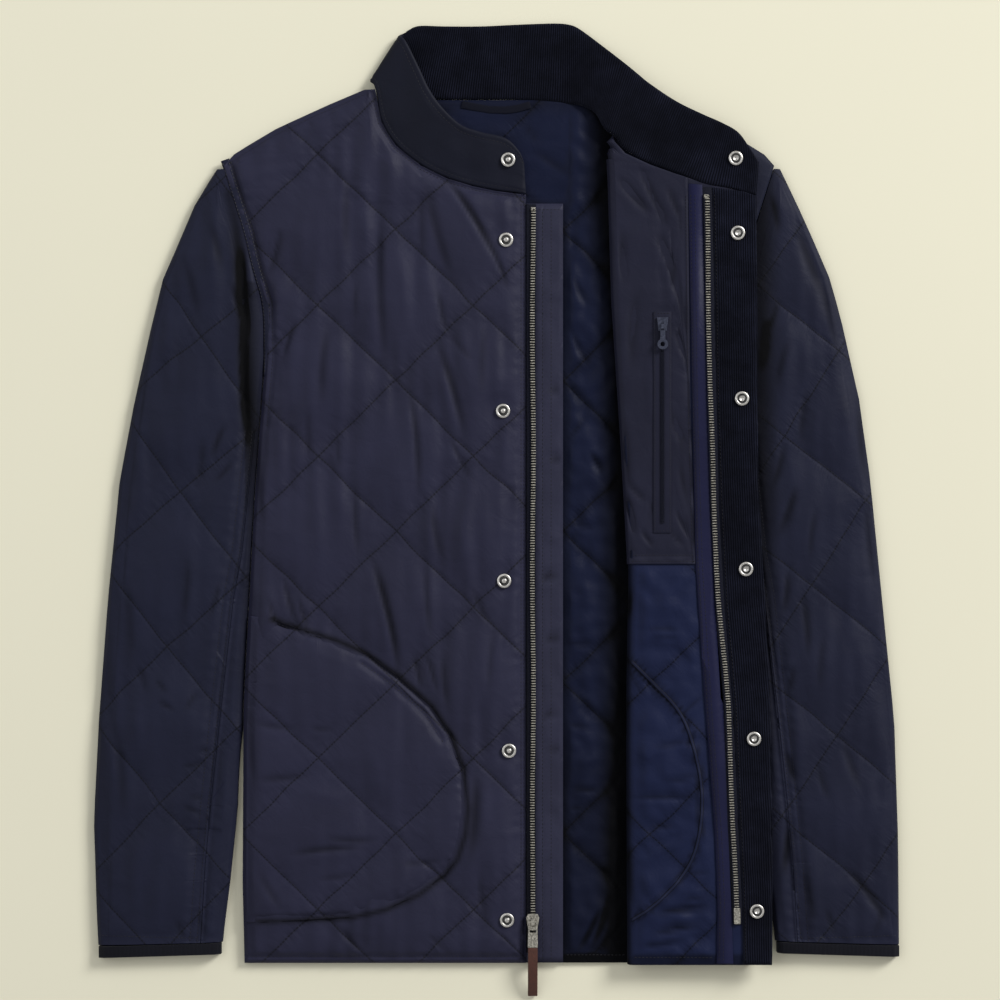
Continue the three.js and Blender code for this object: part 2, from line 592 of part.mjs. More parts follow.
// What is sewn on the lining side of the left front, from the fold to the free edge
const FIRST_FACING_COLUMN = 8;
const facingRows = leftGrid.filter((_, k) => leftRows[k] < 297);
const facingGrid = sideOf(facingRows, 'liningSide').map((row) => row.slice(FIRST_FACING_COLUMN));
const between = (leftAt, rightAt, lowY, highLeftY, highRightY, step = 22) => {
  const line = (xAt, highY) => {
    const count = Math.ceil((highY - lowY) / step);
    return Array.from({ length: count + 1 }, (_, k) => {
      const y = lowY + ((highY - lowY) * k) / count;
      return { x: xAt(y), y };
    });
  };
  return [...line(rightAt, highRightY), ...line(leftAt, highLeftY).reverse()];
};
const neckBelow = (x) => reader([...NECK_LEFT].reverse(), 'y', 'x')(x) - 1;
const chestRight = (y) => stripEdge(y) - SEAM_GAP;
const chestOutline = [
  ...between((y) => foldAt(y) - 4, chestRight, CHEST_PANEL.lowY, 292, neckBelow(stripEdge(270))),
].flatMap((p, k, all) => {
  const turnsIn = p.y > 270 && all[k + 1] && all[k + 1].y > p.y;
  return turnsIn ? [p, { x: 146.9, y: neckBelow(146.9) }, { x: 125.8, y: neckBelow(125.8) }] : [p];
});
place('chest_panel', layOn(facingGrid, SEAM_GAP, CHEST_PANEL.thick, chestOutline), shell);
place('facing_strip', layOn(facingGrid, SEAM_GAP, 1.2, between(
  stripEdge, (y) => zipLeft(y) - 3.6, HEM_Y + 1, 271, 270,
)), lining);
place('zip_tape_left', layOn(facingGrid, SEAM_GAP, 1.2, between(
  (y) => zipLeft(y) - 3.3, (y) => zipLeft(y) + 4.2, LEFT_ZIP_SPAN.lowY, 268, 268,
)), tape);
place('placket_corduroy', layOn(facingGrid, SEAM_GAP, 2, between(
  (y) => zipLeft(y) + 4.5, (y) => freeEdge(y) + 3, HEM_Y + 1, 268, 262.5,
)), corduroy);
place('pocket_seam_left', layOn(
  facingGrid, SEAM_GAP, 1.6, ribbonOutline(BOUND_SEAM, BOUND_SEAM_WIDTH),
), binding);

// Sleeves
function sleeve(side, sign, outerTable, quilting) {
  const outerAt = reader(outerTable, 'x');
  const quiltLine = reader(quilting.line, 'x');
  const slantAt = reader(quilting.line, 'slant');
  const innerAt = (y) => (y < -190 ? sleeveInnerLow(y) : halfWidth(y) + 2 * SEAM_GAP);
  const lines = [
    edgeLine(outerAt, -372, 289),
    edgeLine(innerAt, -372, 289, armholeLift),
  ];
  const rowY = (v, x) => v + slantAt(v) * (x - quiltLine(v));
  const meeting = (v, xAt) => {
    let x = xAt(v);
    for (let k = 0; k < 8; k += 1) {
      x = xAt(rowY(v, x));
    }
    return x;
  };
  const point = (v, x) => {
    const y = rowY(v, x);
    const distance = distanceTo(lines, x, y);
    const across = (x - quiltLine(v)) / quilting.halfWidth;
    const along = (v - quilting.crossY) / quilting.halfHeight;
    const inside = WALL + SEAM_GAP + AIR * quarterRound(distance, ROUNDING);
    const wall = RIM_WALL + (WALL - RIM_WALL) * quarterRound(distance, RIM_REACH);
    const fromInner = distanceTo([lines[1]], x, y);
    const calm = ease(distance, 4, 26) * ease(fromInner, 14, 40) * ease(v, CUFF.topY + 4, CUFF.topY + 22);
    const z = inside + wall + PUFF * puffAt(across, along) * calm;
    return { x: sign * x, y, z, inside, across, along };
  };
  const rowStep = quilting.halfHeight / CELLS;
  const rows = [CUFF.topY, CUFF.topY + 4];
  const firstRow = rowsFrom(CUFF.topY + 4, quilting.crossY, rowStep);
  for (let v = firstRow; v < SLEEVE_TOP_Y - 4; v += rowStep) {
    rows.push(v);
  }
  rows.push(SLEEVE_TOP_Y);
  const grid = rows.map((v) => {
    const low = meeting(v, innerAt);
    const high = meeting(v, outerAt);
    const columns = quilting.columns.map((k) => quiltLine(v) + (k * quilting.halfWidth) / CELLS);
    const raw = [low, low + RIM, low + 10, ...columns, high - 11, high - RIM, high];
    return spread(raw, low, high).map((x) => point(v, x));
  });
  const whole = solidOf(closedWall(grid, plainInside(grid, edgeColumns)));
  const floor = solidOf(closedWall(
    grid.map((row) => [0, 5, row.length - 1].map((c) => ({ x: row[c].x, y: row[c].y, z: WALL }))),
    grid.map((row) => [0, 5, row.length - 1].map((c) => ({ x: row[c].x, y: row[c].y, z: 0 }))),
  ));
  const seamTop = FRONT_SEAM[FRONT_SEAM.length - 1].y;
  const inside = 150;
  const below = -400;
  const strip = (grow) => prism([
    ...FRONT_SEAM.map((p) => ({ x: sign * (p.x + grow), y: p.y })),
    { x: sign * (innerAt(seamTop) - 0.5), y: seamTop + 8 + grow },
    { x: sign * inside, y: seamTop + 8 + grow },
    { x: sign * inside, y: below },
    { x: sign * (FRONT_SEAM[0].x + grow), y: below },
  ].reverse());
  const edgeWall = solidOf(band(
    (y) => sign * (innerAt(y) + 0.05) - (sign < 0 ? SEAM_EDGE.width : 0),
    (y) => sign * (innerAt(y) + 0.05) + (sign > 0 ? SEAM_EDGE.width : 0),
    CUFF.topY + 3,
    seamTop - 6,
    SEAM_EDGE.low,
    SEAM_EDGE.high,
    20,
  ));
  const folded = whole.intersect(strip(-SEAM_GAP / 2));
  place(`sleeve_${side}_upper`, geometryOf(whole.subtract(strip(SEAM_GAP / 2))), shell);
  place(`sleeve_${side}_under`, geometryOf(floor.add(edgeWall).add(folded)), shell);
  cuffBinding(side, sign, innerAt, outerAt, rowY);
}

// Bound cuff: a flat ring round the end of the sleeve
function cuffBinding(side, sign, innerAt, outerAt, rowY) {
  const ends = [innerAt(CUFF.endY), outerAt(CUFF.endY)];
  const ring = (inset, low, high) => {
    const corner = Math.min(CUFF.corner, (high - low) / 2 - 0.05);
    const shape = new THREE.Path();
    const left = ends[0] + inset;
    const right = ends[1] - inset;
    shape.moveTo(left, low);
    shape.lineTo(right, low);
    shape.lineTo(right, high - corner);
    shape.lineTo(right - corner * CUFF.slope, high);
    shape.lineTo(left + corner * CUFF.slope, high);
    shape.lineTo(left, high - corner);
    return shape;
  };
  const shape = new THREE.Shape(ring(0, 0, CUFF.height).getPoints());
  shape.holes.push(ring(CUFF.edge, CUFF.slotLow, CUFF.slotHigh));
  const depth = CUFF.topY - CUFF.endY - 3 * SEAM_GAP;
  const geometry = new THREE.ExtrudeGeometry(shape, { depth, bevelEnabled: false });
  const { position } = geometry.attributes;
  for (let k = 0; k < position.count; k += 1) {
    const x = position.getX(k);
    const y = rowY(CUFF.endY, x) + position.getZ(k);
    position.setXYZ(k, sign * x, y, position.getY(k));
  }
  geometry.deleteAttribute('normal');
  geometry.deleteAttribute('uv');
  place(`cuff_binding_${side}`, facingOut(mergeVertices(geometry, 1e-4)), binding);
}

sleeve('right', -1, SLEEVE_OUTER_RIGHT, QUILTING_RIGHT);
sleeve('left', 1, SLEEVE_OUTER_LEFT, QUILTING_LEFT);

// Collar: shell outside and corduroy inside, each made along the same seam and top edge
const COLLAR_COLUMNS = [0, 0.12, 0.5, 0.88, 1];
const collarMiddle = COLLAR.map(({ seam, top }) => COLLAR_COLUMNS.map((part) => (
  new THREE.Vector3(...seam).lerp(new THREE.Vector3(...top), part)
)));
const collarNormal = (r, c) => {
  const last = collarMiddle.length - 1;
  const from = collarMiddle[Math.max(r - 1, 0)][c];
  const to = collarMiddle[Math.min(r + 1, last)][c];
  const across = collarMiddle[r][4].clone().sub(collarMiddle[r][0]);
  return across.cross(to.clone().sub(from)).normalize();
};
const collarSide = (distance) => collarMiddle.map((row, r) => row.map((p, c) => {
  const moved = p.clone().addScaledVector(collarNormal(r, c), distance);
  moved.z = Math.max(moved.z, 0);
  return moved;
}));
const collarWall = (low, high) => closedWall(collarSide(high), collarSide(low));
const collarOuter = place('collar_outer', collarWall(COLLAR_OUTER.low, COLLAR_OUTER.high), shell);
const collarInner = place('collar_corduroy', collarWall(-COLLAR_CORDUROY.low, -COLLAR_CORDUROY.high), corduroy);

// Hanger loop inside the back neck
place('hanger_loop', geometryOf(prism(
  ribbonOutline(HANGER_PATH, HANGER_LOOP.width), HANGER_LOOP.low, HANGER_LOOP.high,
)), binding);

// Wind flap and the zip's halves
const onBack = (name, sizes, lowY, highY, material) => place(name, band(
  () => sizes.left, () => sizes.right, lowY, highY, sizes.low, sizes.high, 60,
), material);
const tapeLowY = HEM_Y + 9;
onBack('wind_flap', FLAP, HEM_Y + 0.5, FLAP.topY, shell);
onBack('zip_tape_right', TAPE_RIGHT, tapeLowY, FLAP.topY - 0.5, tape);
const teethLow = TAPE_RIGHT.high + SEAM_GAP;
place('zip_teeth_right', band(
  () => SLIDER.x - TEETH.halfWidth,
  () => SLIDER.x + TEETH.halfWidth,
  tapeLowY + 0.3,
  FLAP.topY - 3,
  teethLow,
  teethLow + TEETH.height - 0.2,
  60,
), brass);

// Height of a mesh's top face over a place
function topOf(mesh, x, y) {
  const down = new THREE.Raycaster(new THREE.Vector3(x, y, 100), new THREE.Vector3(0, 0, -1));
  const hits = down.intersectObject(mesh);
  return hits.length > 0 ? hits[0].point.z : 0;
}

function seatOn(mesh, x, y, radius) {
  let highest = topOf(mesh, x, y);
  [0.5, 1].forEach((part) => {
    for (let k = 0; k < 12; k += 1) {
      const angle = (k * Math.PI) / 6;
      const reach = radius * part;
      highest = Math.max(highest, topOf(mesh, x + reach * Math.cos(angle), y + reach * Math.sin(angle)));
    }
  });
  return highest + SEAM_GAP;
}

// The left zip half stands on its own tape
const namedMesh = (name) => jacket.children.find((mesh) => mesh.name === name);
const leftTapeTop = seatOn(namedMesh('zip_tape_left'), zipLeft(0), 0, 1);
place('zip_teeth_left', band(
  (y) => zipLeft(y) - TEETH.halfWidth,
  (y) => zipLeft(y) + TEETH.halfWidth,
  LEFT_ZIP_SPAN.lowY + 14,
  LEFT_ZIP_SPAN.highY,
  leftTapeTop,
  leftTapeTop + TEETH.height,
  28,
), brass);
place('zip_pin', band(
  (y) => zipLeft(y) - 2.6, (y) => zipLeft(y) + 2.6, LEFT_ZIP_SPAN.lowY + 0.5, LEFT_ZIP_SPAN.lowY + 13.7,
  leftTapeTop, leftTapeTop + 1.8,
), brass);
place('zip_box', band(
  () => SLIDER.x - 4, () => SLIDER.x + 4, HEM_Y + 0.8, tapeLowY - 0.3, FLAP.high + SEAM_GAP, 8.2,
), brass);

// Snaps: a ring round a raised stud, or round a well
function snap(name, kind, mesh, { x, y }) {
  const low = seatOn(mesh, x, y, SNAP_RADIUS);
  const profile = [...SNAP_RING, ...kind].map(([r, z]) => new THREE.Vector2(r, z));
  const geometry = new THREE.LatheGeometry(profile, SNAP_STEPS);
  geometry.rotateX(Math.PI / 2);
  geometry.deleteAttribute('normal');
  geometry.deleteAttribute('uv');
  const merged = facingOut(mergeVertices(geometry, 1e-4));
  const placed = place(name, merged, nickel);
  placed.position.set(x, y, low);
}

STUDS.forEach((at, k) => snap(`snap_stud_${k + 1}`, SNAP_STUD, rightFront, at));
const placket = namedMesh('placket_corduroy');
SOCKETS.forEach((at, k) => snap(`snap_socket_${k + 1}`, SNAP_WELL, placket, at));
snap('snap_stud_collar', SNAP_STUD, collarOuter, COLLAR_STUD);
snap('snap_socket_collar', SNAP_WELL, collarInner, COLLAR_SOCKET);

// Slider of the front zip with the bridge that carries its pull
const sliderTop = SLIDER.low + SLIDER.thick;
const sliderPlate = prism([
  { x: SLIDER.x - SLIDER.halfLow, y: SLIDER.lowY },
  { x: SLIDER.x + SLIDER.halfLow, y: SLIDER.lowY },
  { x: SLIDER.x + SLIDER.halfTop, y: SLIDER.topY - 3 },
  { x: SLIDER.x + SLIDER.halfTop - 1.5, y: SLIDER.topY },
  { x: SLIDER.x - SLIDER.halfTop + 1.5, y: SLIDER.topY },
  { x: SLIDER.x - SLIDER.halfTop, y: SLIDER.topY - 3 },
], SLIDER.low, sliderTop);

function bridgeOver(x, y, base, size) {
  const { halfWidth: half, rise, span, bar } = size;
  const outer = new THREE.Shape([
    new THREE.Vector2(-span / 2, -0.4), new THREE.Vector2(span / 2, -0.4),
    new THREE.Vector2(span / 2, rise * 0.6), new THREE.Vector2(span / 2 - bar, rise),
    new THREE.Vector2(-span / 2 + bar, rise), new THREE.Vector2(-span / 2, rise * 0.6),
  ]);
  outer.holes.push(new THREE.Path([
    new THREE.Vector2(-span / 2 + bar, 0.2), new THREE.Vector2(span / 2 - bar, 0.2),
    new THREE.Vector2(span / 2 - bar, rise - bar), new THREE.Vector2(-span / 2 + bar, rise - bar),
  ]));
  const geometry = new THREE.ExtrudeGeometry(outer, { depth: 2 * half, bevelEnabled: false });
  geometry.rotateX(Math.PI / 2);
  geometry.rotateZ(Math.PI / 2);
  geometry.translate(x - half, y, base);
  return solidOf(geometry);
}

place('slider_main', geometryOf(sliderPlate.add(bridgeOver(SLIDER.x, BRIDGE.y, sliderTop, BRIDGE))), brass);

// A pull is a plate whose bar passes under the bridge
function pullPlate(x, pivotY, z, size) {
  const { length, halfWidth: half, thick } = size;
  const shape = new THREE.Shape([
    new THREE.Vector2(x - half, pivotY - length), new THREE.Vector2(x + half, pivotY - length),
    new THREE.Vector2(x + half * 0.9, pivotY + 1), new THREE.Vector2(x - half * 0.9, pivotY + 1),
  ]);
  const slot = (top, low, inner) => new THREE.Path([
    new THREE.Vector2(x - inner, low), new THREE.Vector2(x - inner, top),
    new THREE.Vector2(x + inner, top), new THREE.Vector2(x + inner, low),
  ]);
  shape.holes.push(slot(pivotY - 0.4, pivotY - 0.42 * length, half * 0.62));
  const geometry = new THREE.ExtrudeGeometry(shape, { depth: thick, bevelEnabled: false });
  geometry.translate(0, 0, z - thick / 2);
  return solidOf(geometry);
}

place('pull_main', geometryOf(pullPlate(SLIDER.x, BRIDGE.y, PULL.z, PULL)), brass);
const leatherGrid = (offset) => [...LEATHER].reverse().map((p, k, all) => {
  const a = all[Math.max(k - 1, 0)];
  const b = all[Math.min(k + 1, all.length - 1)];
  const length = Math.hypot(b.y - a.y, b.z - a.z);
  const y = p.y - ((b.z - a.z) / length) * offset;
  const z = p.z + ((b.y - a.y) / length) * offset;
  return [-1, 1].map((sign) => ({ x: SLIDER.x + sign * LEATHER_SECTION.halfWidth, y, z }));
});
const leatherHalf = LEATHER_SECTION.thick / 2;
place('pull_leather', closedWall(leatherGrid(leatherHalf), leatherGrid(-leatherHalf)), leather);

// Zip of the chest pocket
const chest = namedMesh('chest_panel');
const chestTop = seatOn(chest, CHEST_ZIP.x, 80, 4);
place('chest_zip_tape', band(
  () => CHEST_ZIP.x - CHEST_ZIP.halfWidth, () => CHEST_ZIP.x + CHEST_ZIP.halfWidth,
  CHEST_ZIP.lowY - CHEST_ZIP.margin, CHEST_ZIP.highY + CHEST_ZIP.margin, chestTop, chestTop + 0.6, 200,
), shell);
const chestTeethLow = chestTop + 0.6 + SEAM_GAP;
place('chest_zip_teeth', band(
  () => CHEST_ZIP.x - CHEST_TEETH.halfWidth, () => CHEST_ZIP.x + CHEST_TEETH.halfWidth,
  CHEST_ZIP.lowY, CHEST_SLIDER.lowY - 0.4, chestTeethLow, chestTeethLow + CHEST_TEETH.height, 200,
), tape);
const chestSliderTop = chestTeethLow + CHEST_SLIDER.thick;
place('chest_slider', geometryOf(prism([
  { x: CHEST_ZIP.x - CHEST_SLIDER.halfLow, y: CHEST_SLIDER.lowY },
  { x: CHEST_ZIP.x + CHEST_SLIDER.halfLow, y: CHEST_SLIDER.lowY },
  { x: CHEST_ZIP.x + CHEST_SLIDER.halfTop, y: CHEST_SLIDER.topY },
  { x: CHEST_ZIP.x - CHEST_SLIDER.halfTop, y: CHEST_SLIDER.topY },
], chestTeethLow, chestSliderTop).add(
  bridgeOver(CHEST_ZIP.x, CHEST_PULL.pivotY, chestSliderTop, CHEST_BRIDGE),
)), nickel);
place('chest_pull', geometryOf(
  pullPlate(CHEST_ZIP.x, CHEST_PULL.pivotY, chestSliderTop + 1.5, CHEST_PULL),
), nickel);

export default jacket;
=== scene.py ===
import bmesh
import bpy
import math
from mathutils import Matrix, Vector, kdtree, noise
from mathutils.bvhtree import BVHTree


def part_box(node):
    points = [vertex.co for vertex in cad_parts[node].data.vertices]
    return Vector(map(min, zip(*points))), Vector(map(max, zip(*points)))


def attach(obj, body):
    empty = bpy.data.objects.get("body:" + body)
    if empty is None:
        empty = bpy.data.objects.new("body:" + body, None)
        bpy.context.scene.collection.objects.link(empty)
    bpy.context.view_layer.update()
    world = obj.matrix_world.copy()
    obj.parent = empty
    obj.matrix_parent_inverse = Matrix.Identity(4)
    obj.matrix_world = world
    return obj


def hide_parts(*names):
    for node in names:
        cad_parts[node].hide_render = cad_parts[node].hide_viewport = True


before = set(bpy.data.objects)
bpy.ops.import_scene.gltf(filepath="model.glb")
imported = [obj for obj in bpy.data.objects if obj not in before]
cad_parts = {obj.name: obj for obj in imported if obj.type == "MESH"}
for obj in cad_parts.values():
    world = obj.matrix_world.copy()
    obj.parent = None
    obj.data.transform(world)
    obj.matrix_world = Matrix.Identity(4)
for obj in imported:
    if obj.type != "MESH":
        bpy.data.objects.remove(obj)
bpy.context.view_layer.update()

# The wearer's right front: a navy nylon shell over light filling and a lining, quilted in diamonds.
# It lies shell up on the back, is turned under and stitched at the front edge and hem, and is set
# into the sleeve along the armhole.
MM = 0.001
NAVY = (0.0142, 0.0147, 0.0345)
THREAD = (0.0040, 0.0040, 0.0085)
DIAMOND = {"half_width": 64.6 * MM, "half_height": 62.7 * MM, "x": -150.2 * MM, "y": -79.7 * MM}
STITCH_SPAN = 45 * MM
RIGHT_FRONT_CREASES = [
    # from x, y to x, y, then half width and depth, all in mm; a trough is negative
    (-40, 272, -4, 213, 2.8, -1.9), (-9, 224, 7, 186, 2.0, -1.2), (-60, 270, -37, 188, 3.8, -0.9),
    (-64, 262, -63, 212, 2.4, -0.6), (-50, 182, -43, 148, 2.2, -1.0), (-51, 140, -29, 62, 3.2, -1.4),
    (-42, 150, -22, 124, 2.4, -0.7), (-40, 60, -21, 24, 2.0, -0.9), (-97, 244, -94, 126, 3.4, -0.9),
    (-125, 277, -126, 212, 3.2, -0.7), (-118, 190, -119, 158, 2.2, -0.6), (-142, 152, -147, 92, 3.6, -0.9),
    (-158, 84, -157, 42, 2.2, -0.6), (-134, 62, -132, 36, 1.8, -0.6), (-73, 96, -67, 14, 2.6, -1.2),
    (-55, 4, -47, -42, 3.0, -0.9), (-119, 18, -116, -38, 2.6, -0.9), (-104, -42, -83, -134, 3.0, -1.9),
    (-60, -44, -56, -106, 2.6, -0.9), (-71, -120, -65, -148, 2.0, -1.2), (-61, -118, -51, -152, 2.0, -1.1),
    (-46, -120, -42, -166, 2.6, -1.0), (-22, -66, -8, -92, 2.0, -0.8), (-178, -56, -169, -92, 2.0, -1.0),
    (-166, -72, -158, -100, 1.8, -0.9), (-191, -74, -182, -98, 1.8, -0.9),
    (-19, -218, -24, -288, 4.2, -1.4),
    (-181, 232, -191, 196, 2.4, -1.1), (-169, 156, -179, 126, 2.2, -0.9), (-85, 190, -83, 120, 5.0, 0.6),
    (-112, 110, -110, 40, 4.5, 0.6), (-30, 20, -26, -60, 4.5, 0.5), (-150, 10, -146, -50, 4.0, 0.6),
    (-12, 150, -14, 100, 3.0, -0.6), (-4, -100, -8, -150, 2.4, -0.6), (-16, -300, -10, -345, 2.6, -0.7),
    (-60, -350, -40, -368, 2.2, -0.6), (-130, -346, -115, -366, 2.2, -0.6),
    (-200, 60, -196, -10, 3.0, -0.9),
]


class Field:
    """A socket of a material, whose arithmetic adds Math nodes."""

    def __init__(self, tree, socket):
        self.tree = tree
        self.socket = socket

    def node(self, kind, inputs=None, output=0, stops=None, **settings):
        made = self.tree.nodes.new(kind)
        for key, value in settings.items():
            setattr(made, key, value)
        if stops:
            ramp = made.color_ramp.elements
            while len(ramp) < len(stops):
                ramp.new(0.5)
            for element, (place, colour) in zip(ramp, stops):
                element.position = place
                element.color = (*colour, 1)
        for key, value in (inputs or {}).items():
            if isinstance(value, Field):
                self.tree.links.new(value.socket, made.inputs[key])
            else:
                made.inputs[key].default_value = value
        return Field(self.tree, made.outputs[output])

    def math(self, operation, *others):
        terms = {place: term for place, term in enumerate((self, *others))}
        return self.node("ShaderNodeMath", terms, operation=operation)

    def __add__(self, other):
        return self.math("ADD", other)

    def __sub__(self, other):
        return self.math("SUBTRACT", other)

    def __rsub__(self, other):
        return (self * -1).math("ADD", other)

    def __mul__(self, other):
        return self.math("MULTIPLY", other)

    def __pow__(self, other):
        return self.math("POWER", other)

    __radd__ = __add__
    __rmul__ = __mul__


def finish(name, roughness, metallic=0.0, sheen=0.0, specular=0.5):
    """A new material: its shader node and the field of its object coordinates."""
    material = bpy.data.materials.new(name)
    material.use_nodes = True
    tree = material.node_tree
    shader = tree.nodes["Principled BSDF"]
    shader.inputs["Roughness"].default_value = roughness
    shader.inputs["Metallic"].default_value = metallic
    shader.inputs["Sheen Weight"].default_value = sheen
    shader.inputs["Sheen Roughness"].default_value = 0.45
    shader.inputs["Specular IOR Level"].default_value = specular
    place = Field(tree, tree.nodes.new("ShaderNodeTexCoord").outputs["Object"])
    return material, shader, place


def split(vector):
    """The three numbers of a vector field."""
    parts = vector.node("ShaderNodeSeparateXYZ", {0: vector})
    return [Field(parts.tree, socket) for socket in parts.socket.node.outputs]


def noise_of(vector, scale, detail, roughness=0.6, **others):
    sockets = {"Vector": vector, "Scale": scale, "Detail": detail, "Roughness": roughness}
    return vector.node("ShaderNodeTexNoise", {**sockets, **others})


def opaque(colour):
    return colour if isinstance(colour, Field) else (*colour, 1)


def colour_mix(mask, low, high):
    """From one colour to another as a mask goes from 0 to 1."""
    return mask.node("ShaderNodeMix", {0: mask, 6: opaque(low), 7: opaque(high)}, 2, data_type="RGBA")


def shade(colour, factor):
    return tuple(part * factor for part in colour)


def feed(shader, socket, field):
    field.tree.links.new(field.socket, shader.inputs[socket])


def bumped(shader, height, distance, strength=1.0):
    feed(shader, "Normal", height.node(
        "ShaderNodeBump", {"Height": height, "Distance": distance, "Strength": strength}))


STITCH_PITCH = 3.1      # mm from one stitch to the next
WEAVE_DEPTH = 0.00006   # how far one unit of the weave's height stands out, in metres


def woven(name, colour, roughness=0.58, sheen=0.012, quilted=True, pitch=0.55, specular=0.14):
    """Woven cloth: crossing yarns, slow colour drift, crumples, and quilting thread with its puckers.

    The quilting, with a painted shadow beside its lines, and the painted shade of troughs, folds and seams
    follow the attributes that panel() gives the mesh."""
    material, shader, place = finish(name, roughness, sheen=sheen, specular=specular)
    x, y, _ = split(place)
    turns = 2 * math.pi / (pitch * MM)
    yarn = (x * turns).math("SINE") * (y * turns).math("SINE")
    cloudy = noise_of(place, 14.0, 4.0)
    slubs = noise_of(place, 900.0, 2.0)
    crumple = noise_of(place, 60.0, 5.0, Distortion=0.7)
    tone = colour_mix(cloudy * 1.6 - 0.3, shade(colour, 0.82), shade(colour, 1.18))
    height = yarn * 0.16 + slubs * 0.5 + crumple * 10.0
    if quilted:
        one, other, shown = split(place.node("ShaderNodeAttribute", output=1, attribute_name="quilt"))
        for line, run in ((one + other, one - other), (one - other, one + other)):
            away = line.math("PINGPONG", 1.0) * (STITCH_SPAN / MM)
            dash = (run * (STITCH_SPAN / MM / STITCH_PITCH)).math("FRACT").math("LESS_THAN", 0.66)
            thread = away.math("LESS_THAN", 0.5) * dash * shown
            # The thread keeps its own dark colour; the shadow beside each line is painted.
            shadow = (away * away * -1.5).math("EXPONENT") * 0.36 * shown
            tone = colour_mix(thread * 0.5 + shadow, tone, shade(colour, 0.25))
            spread = place.node("ShaderNodeCombineXYZ", {0: run * 9.0, 1: line * 2.2, 2: 3.0})
            pucker = noise_of(spread, 1.0, 3.0) * (away * -0.16).math("EXPONENT")
            furrow = (away * away * -0.55).math("EXPONENT")
            height = height + (pucker * 24.0 - furrow * 2.5 + thread * 3.0) * shown
    # Painted shade: a per-vertex attribute from panel() darkens the cloth towards black in troughs, under
    # folds and flaps and beside seams.
    painted_shade = place.node("ShaderNodeAttribute", output=2, attribute_name="painted_shade")
    feed(shader, "Base Color", colour_mix(painted_shade, tone, shade(colour, 0.06)))
    feed(shader, "Roughness", cloudy * 0.16 + painted_shade * 0.3 + (roughness - 0.08))
    bumped(shader, height, WEAVE_DEPTH)
    return material


def welded(node):
    """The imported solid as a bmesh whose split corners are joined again."""
    bm = bmesh.new()
    bm.from_mesh(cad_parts[node].data)
    bmesh.ops.remove_doubles(bm, verts=bm.verts, dist=2e-6)
    bm.normal_update()
    return bm


def refined(bm, shows, cuts, smooth=14):
    """Splits the shown faces finely and smooths their heights; the rest stays as it is."""
    picked = [face for face in bm.faces if shows(face)]
    for face in picked:
        face.material_index = 1
    rim = []
    for edge in {edge for face in picked for edge in face.edges}:
        if any(face.material_index == 0 for face in edge.link_faces):
            a, b = (vert.co for vert in edge.verts)
            steps = max(1, int((b - a).length / (2 * MM)))
            rim += [a.lerp(b, k / steps) for k in range(steps)]
    bmesh.ops.subdivide_edges(
        bm, edges=list({edge for face in picked for edge in face.edges}), cuts=cuts, use_grid_fill=True)
    bmesh.ops.triangulate(bm, faces=[face for face in bm.faces if len(face.verts) > 4])
    inner = [vert for vert in bm.verts
             if vert.link_faces and all(face.material_index == 1 for face in vert.link_faces)]
    for _ in range(smooth):
        bmesh.ops.smooth_vert(bm, verts=inner, factor=0.5, use_axis_z=True)
    tree = kdtree.KDTree(len(rim))
    for k, point in enumerate(rim):
        tree.insert(point, k)
    tree.balance()
    return inner, tree


def ease(value, low, high):
    t = min(max((value - low) / (high - low), 0.0), 1.0)
    return t * t * (3 - 2 * t)


def quilting(across, along, seed, puff=1.9, groove=0.6, pucker=0.45):
    """Extra rise of a diamond in metres: its crown, the pulled-down stitch lines and their puckers."""
    lines = (across + along, across - along)
    crown = math.prod(abs(math.sin(math.pi * line / 2)) for line in lines) ** 0.5
    total = puff * crown
    for line, run in (lines, lines[::-1]):
        away = abs(line / 2 - round(line / 2)) * 2 * STITCH_SPAN
        pull = 0.75 + noise.noise(Vector((run * 1.7, line, seed)))
        total -= groove * pull * math.exp(-(away / (1.8 * MM)) ** 2)
        uneven = 5 * noise.noise(Vector((run * 3, seed, line * 2)))
        wave = math.sin(run * STITCH_SPAN / (1.55 * MM) + uneven)
        strength = 0.5 + noise.noise(Vector((line * 2, run * 2.3, seed + 7)))
        total += pucker * strength * wave * math.exp(-away / (7 * MM)) * min(away / (1.5 * MM), 1)
    return total * MM


def creased(point, creases):
    """Sum of the listed soft troughs and ridges at a point, each with a lip on one side, in metres."""
    total = 0.0
    x, y = point.x / MM, point.y / MM
    for x0, y0, x1, y1, width, depth in creases:
        length = math.hypot(x1 - x0, y1 - y0)
        along = ((x - x0) * (x1 - x0) + (y - y0) * (y1 - y0)) / length
        if -0.15 < along / length < 1.15:
            off = ((x - x0) * (y1 - y0) - (y - y0) * (x1 - x0)) / length
            if abs(off) < 4 * width + 3:
                off += 0.1 * length * (along / length) * (1 - along / length) * (1 if depth < -1 else -1)
                taper = ease(along / length, -0.15, 0.35) * (1 - ease(along / length, 0.6, 1.15))
                lip = 0.25 * math.exp(-((off - 2.1 * width) / (1.3 * width)) ** 2)
                total += depth * taper * (math.exp(-(off / width) ** 2) - lip)
    return total * MM


def hung(point, height, seed):
    """Uneven folds that run up and down the cloth, in metres."""
    patch = 0.6 + noise.noise(Vector((point.x * 14, point.y * 12, seed + 5)))
    return height * MM * max(patch, 0) * noise.noise(Vector((point.x * 95, point.y * 17, seed)))


def drift(point, size, height, seed):
    """Slow uneven rise of cloth that lies loose, in metres."""
    return height * MM * noise.noise(Vector((point.x / size, point.y / size, seed)))


def wander(point):
    """The quilting lines aren't quite straight: they wander a little over the padding."""
    x = 1.5 * noise.noise(Vector((point.x * 38, point.y * 38, 2.0)))
    y = 1.5 * noise.noise(Vector((point.x * 38, point.y * 38, 9.0)))
    return point.x + x * MM, point.y + y * MM


def body_lattice(point, sign=1):
    x, y = wander(point)
    return (x * sign - DIAMOND["x"]) / DIAMOND["half_width"], (y - DIAMOND["y"]) / DIAMOND["half_height"]


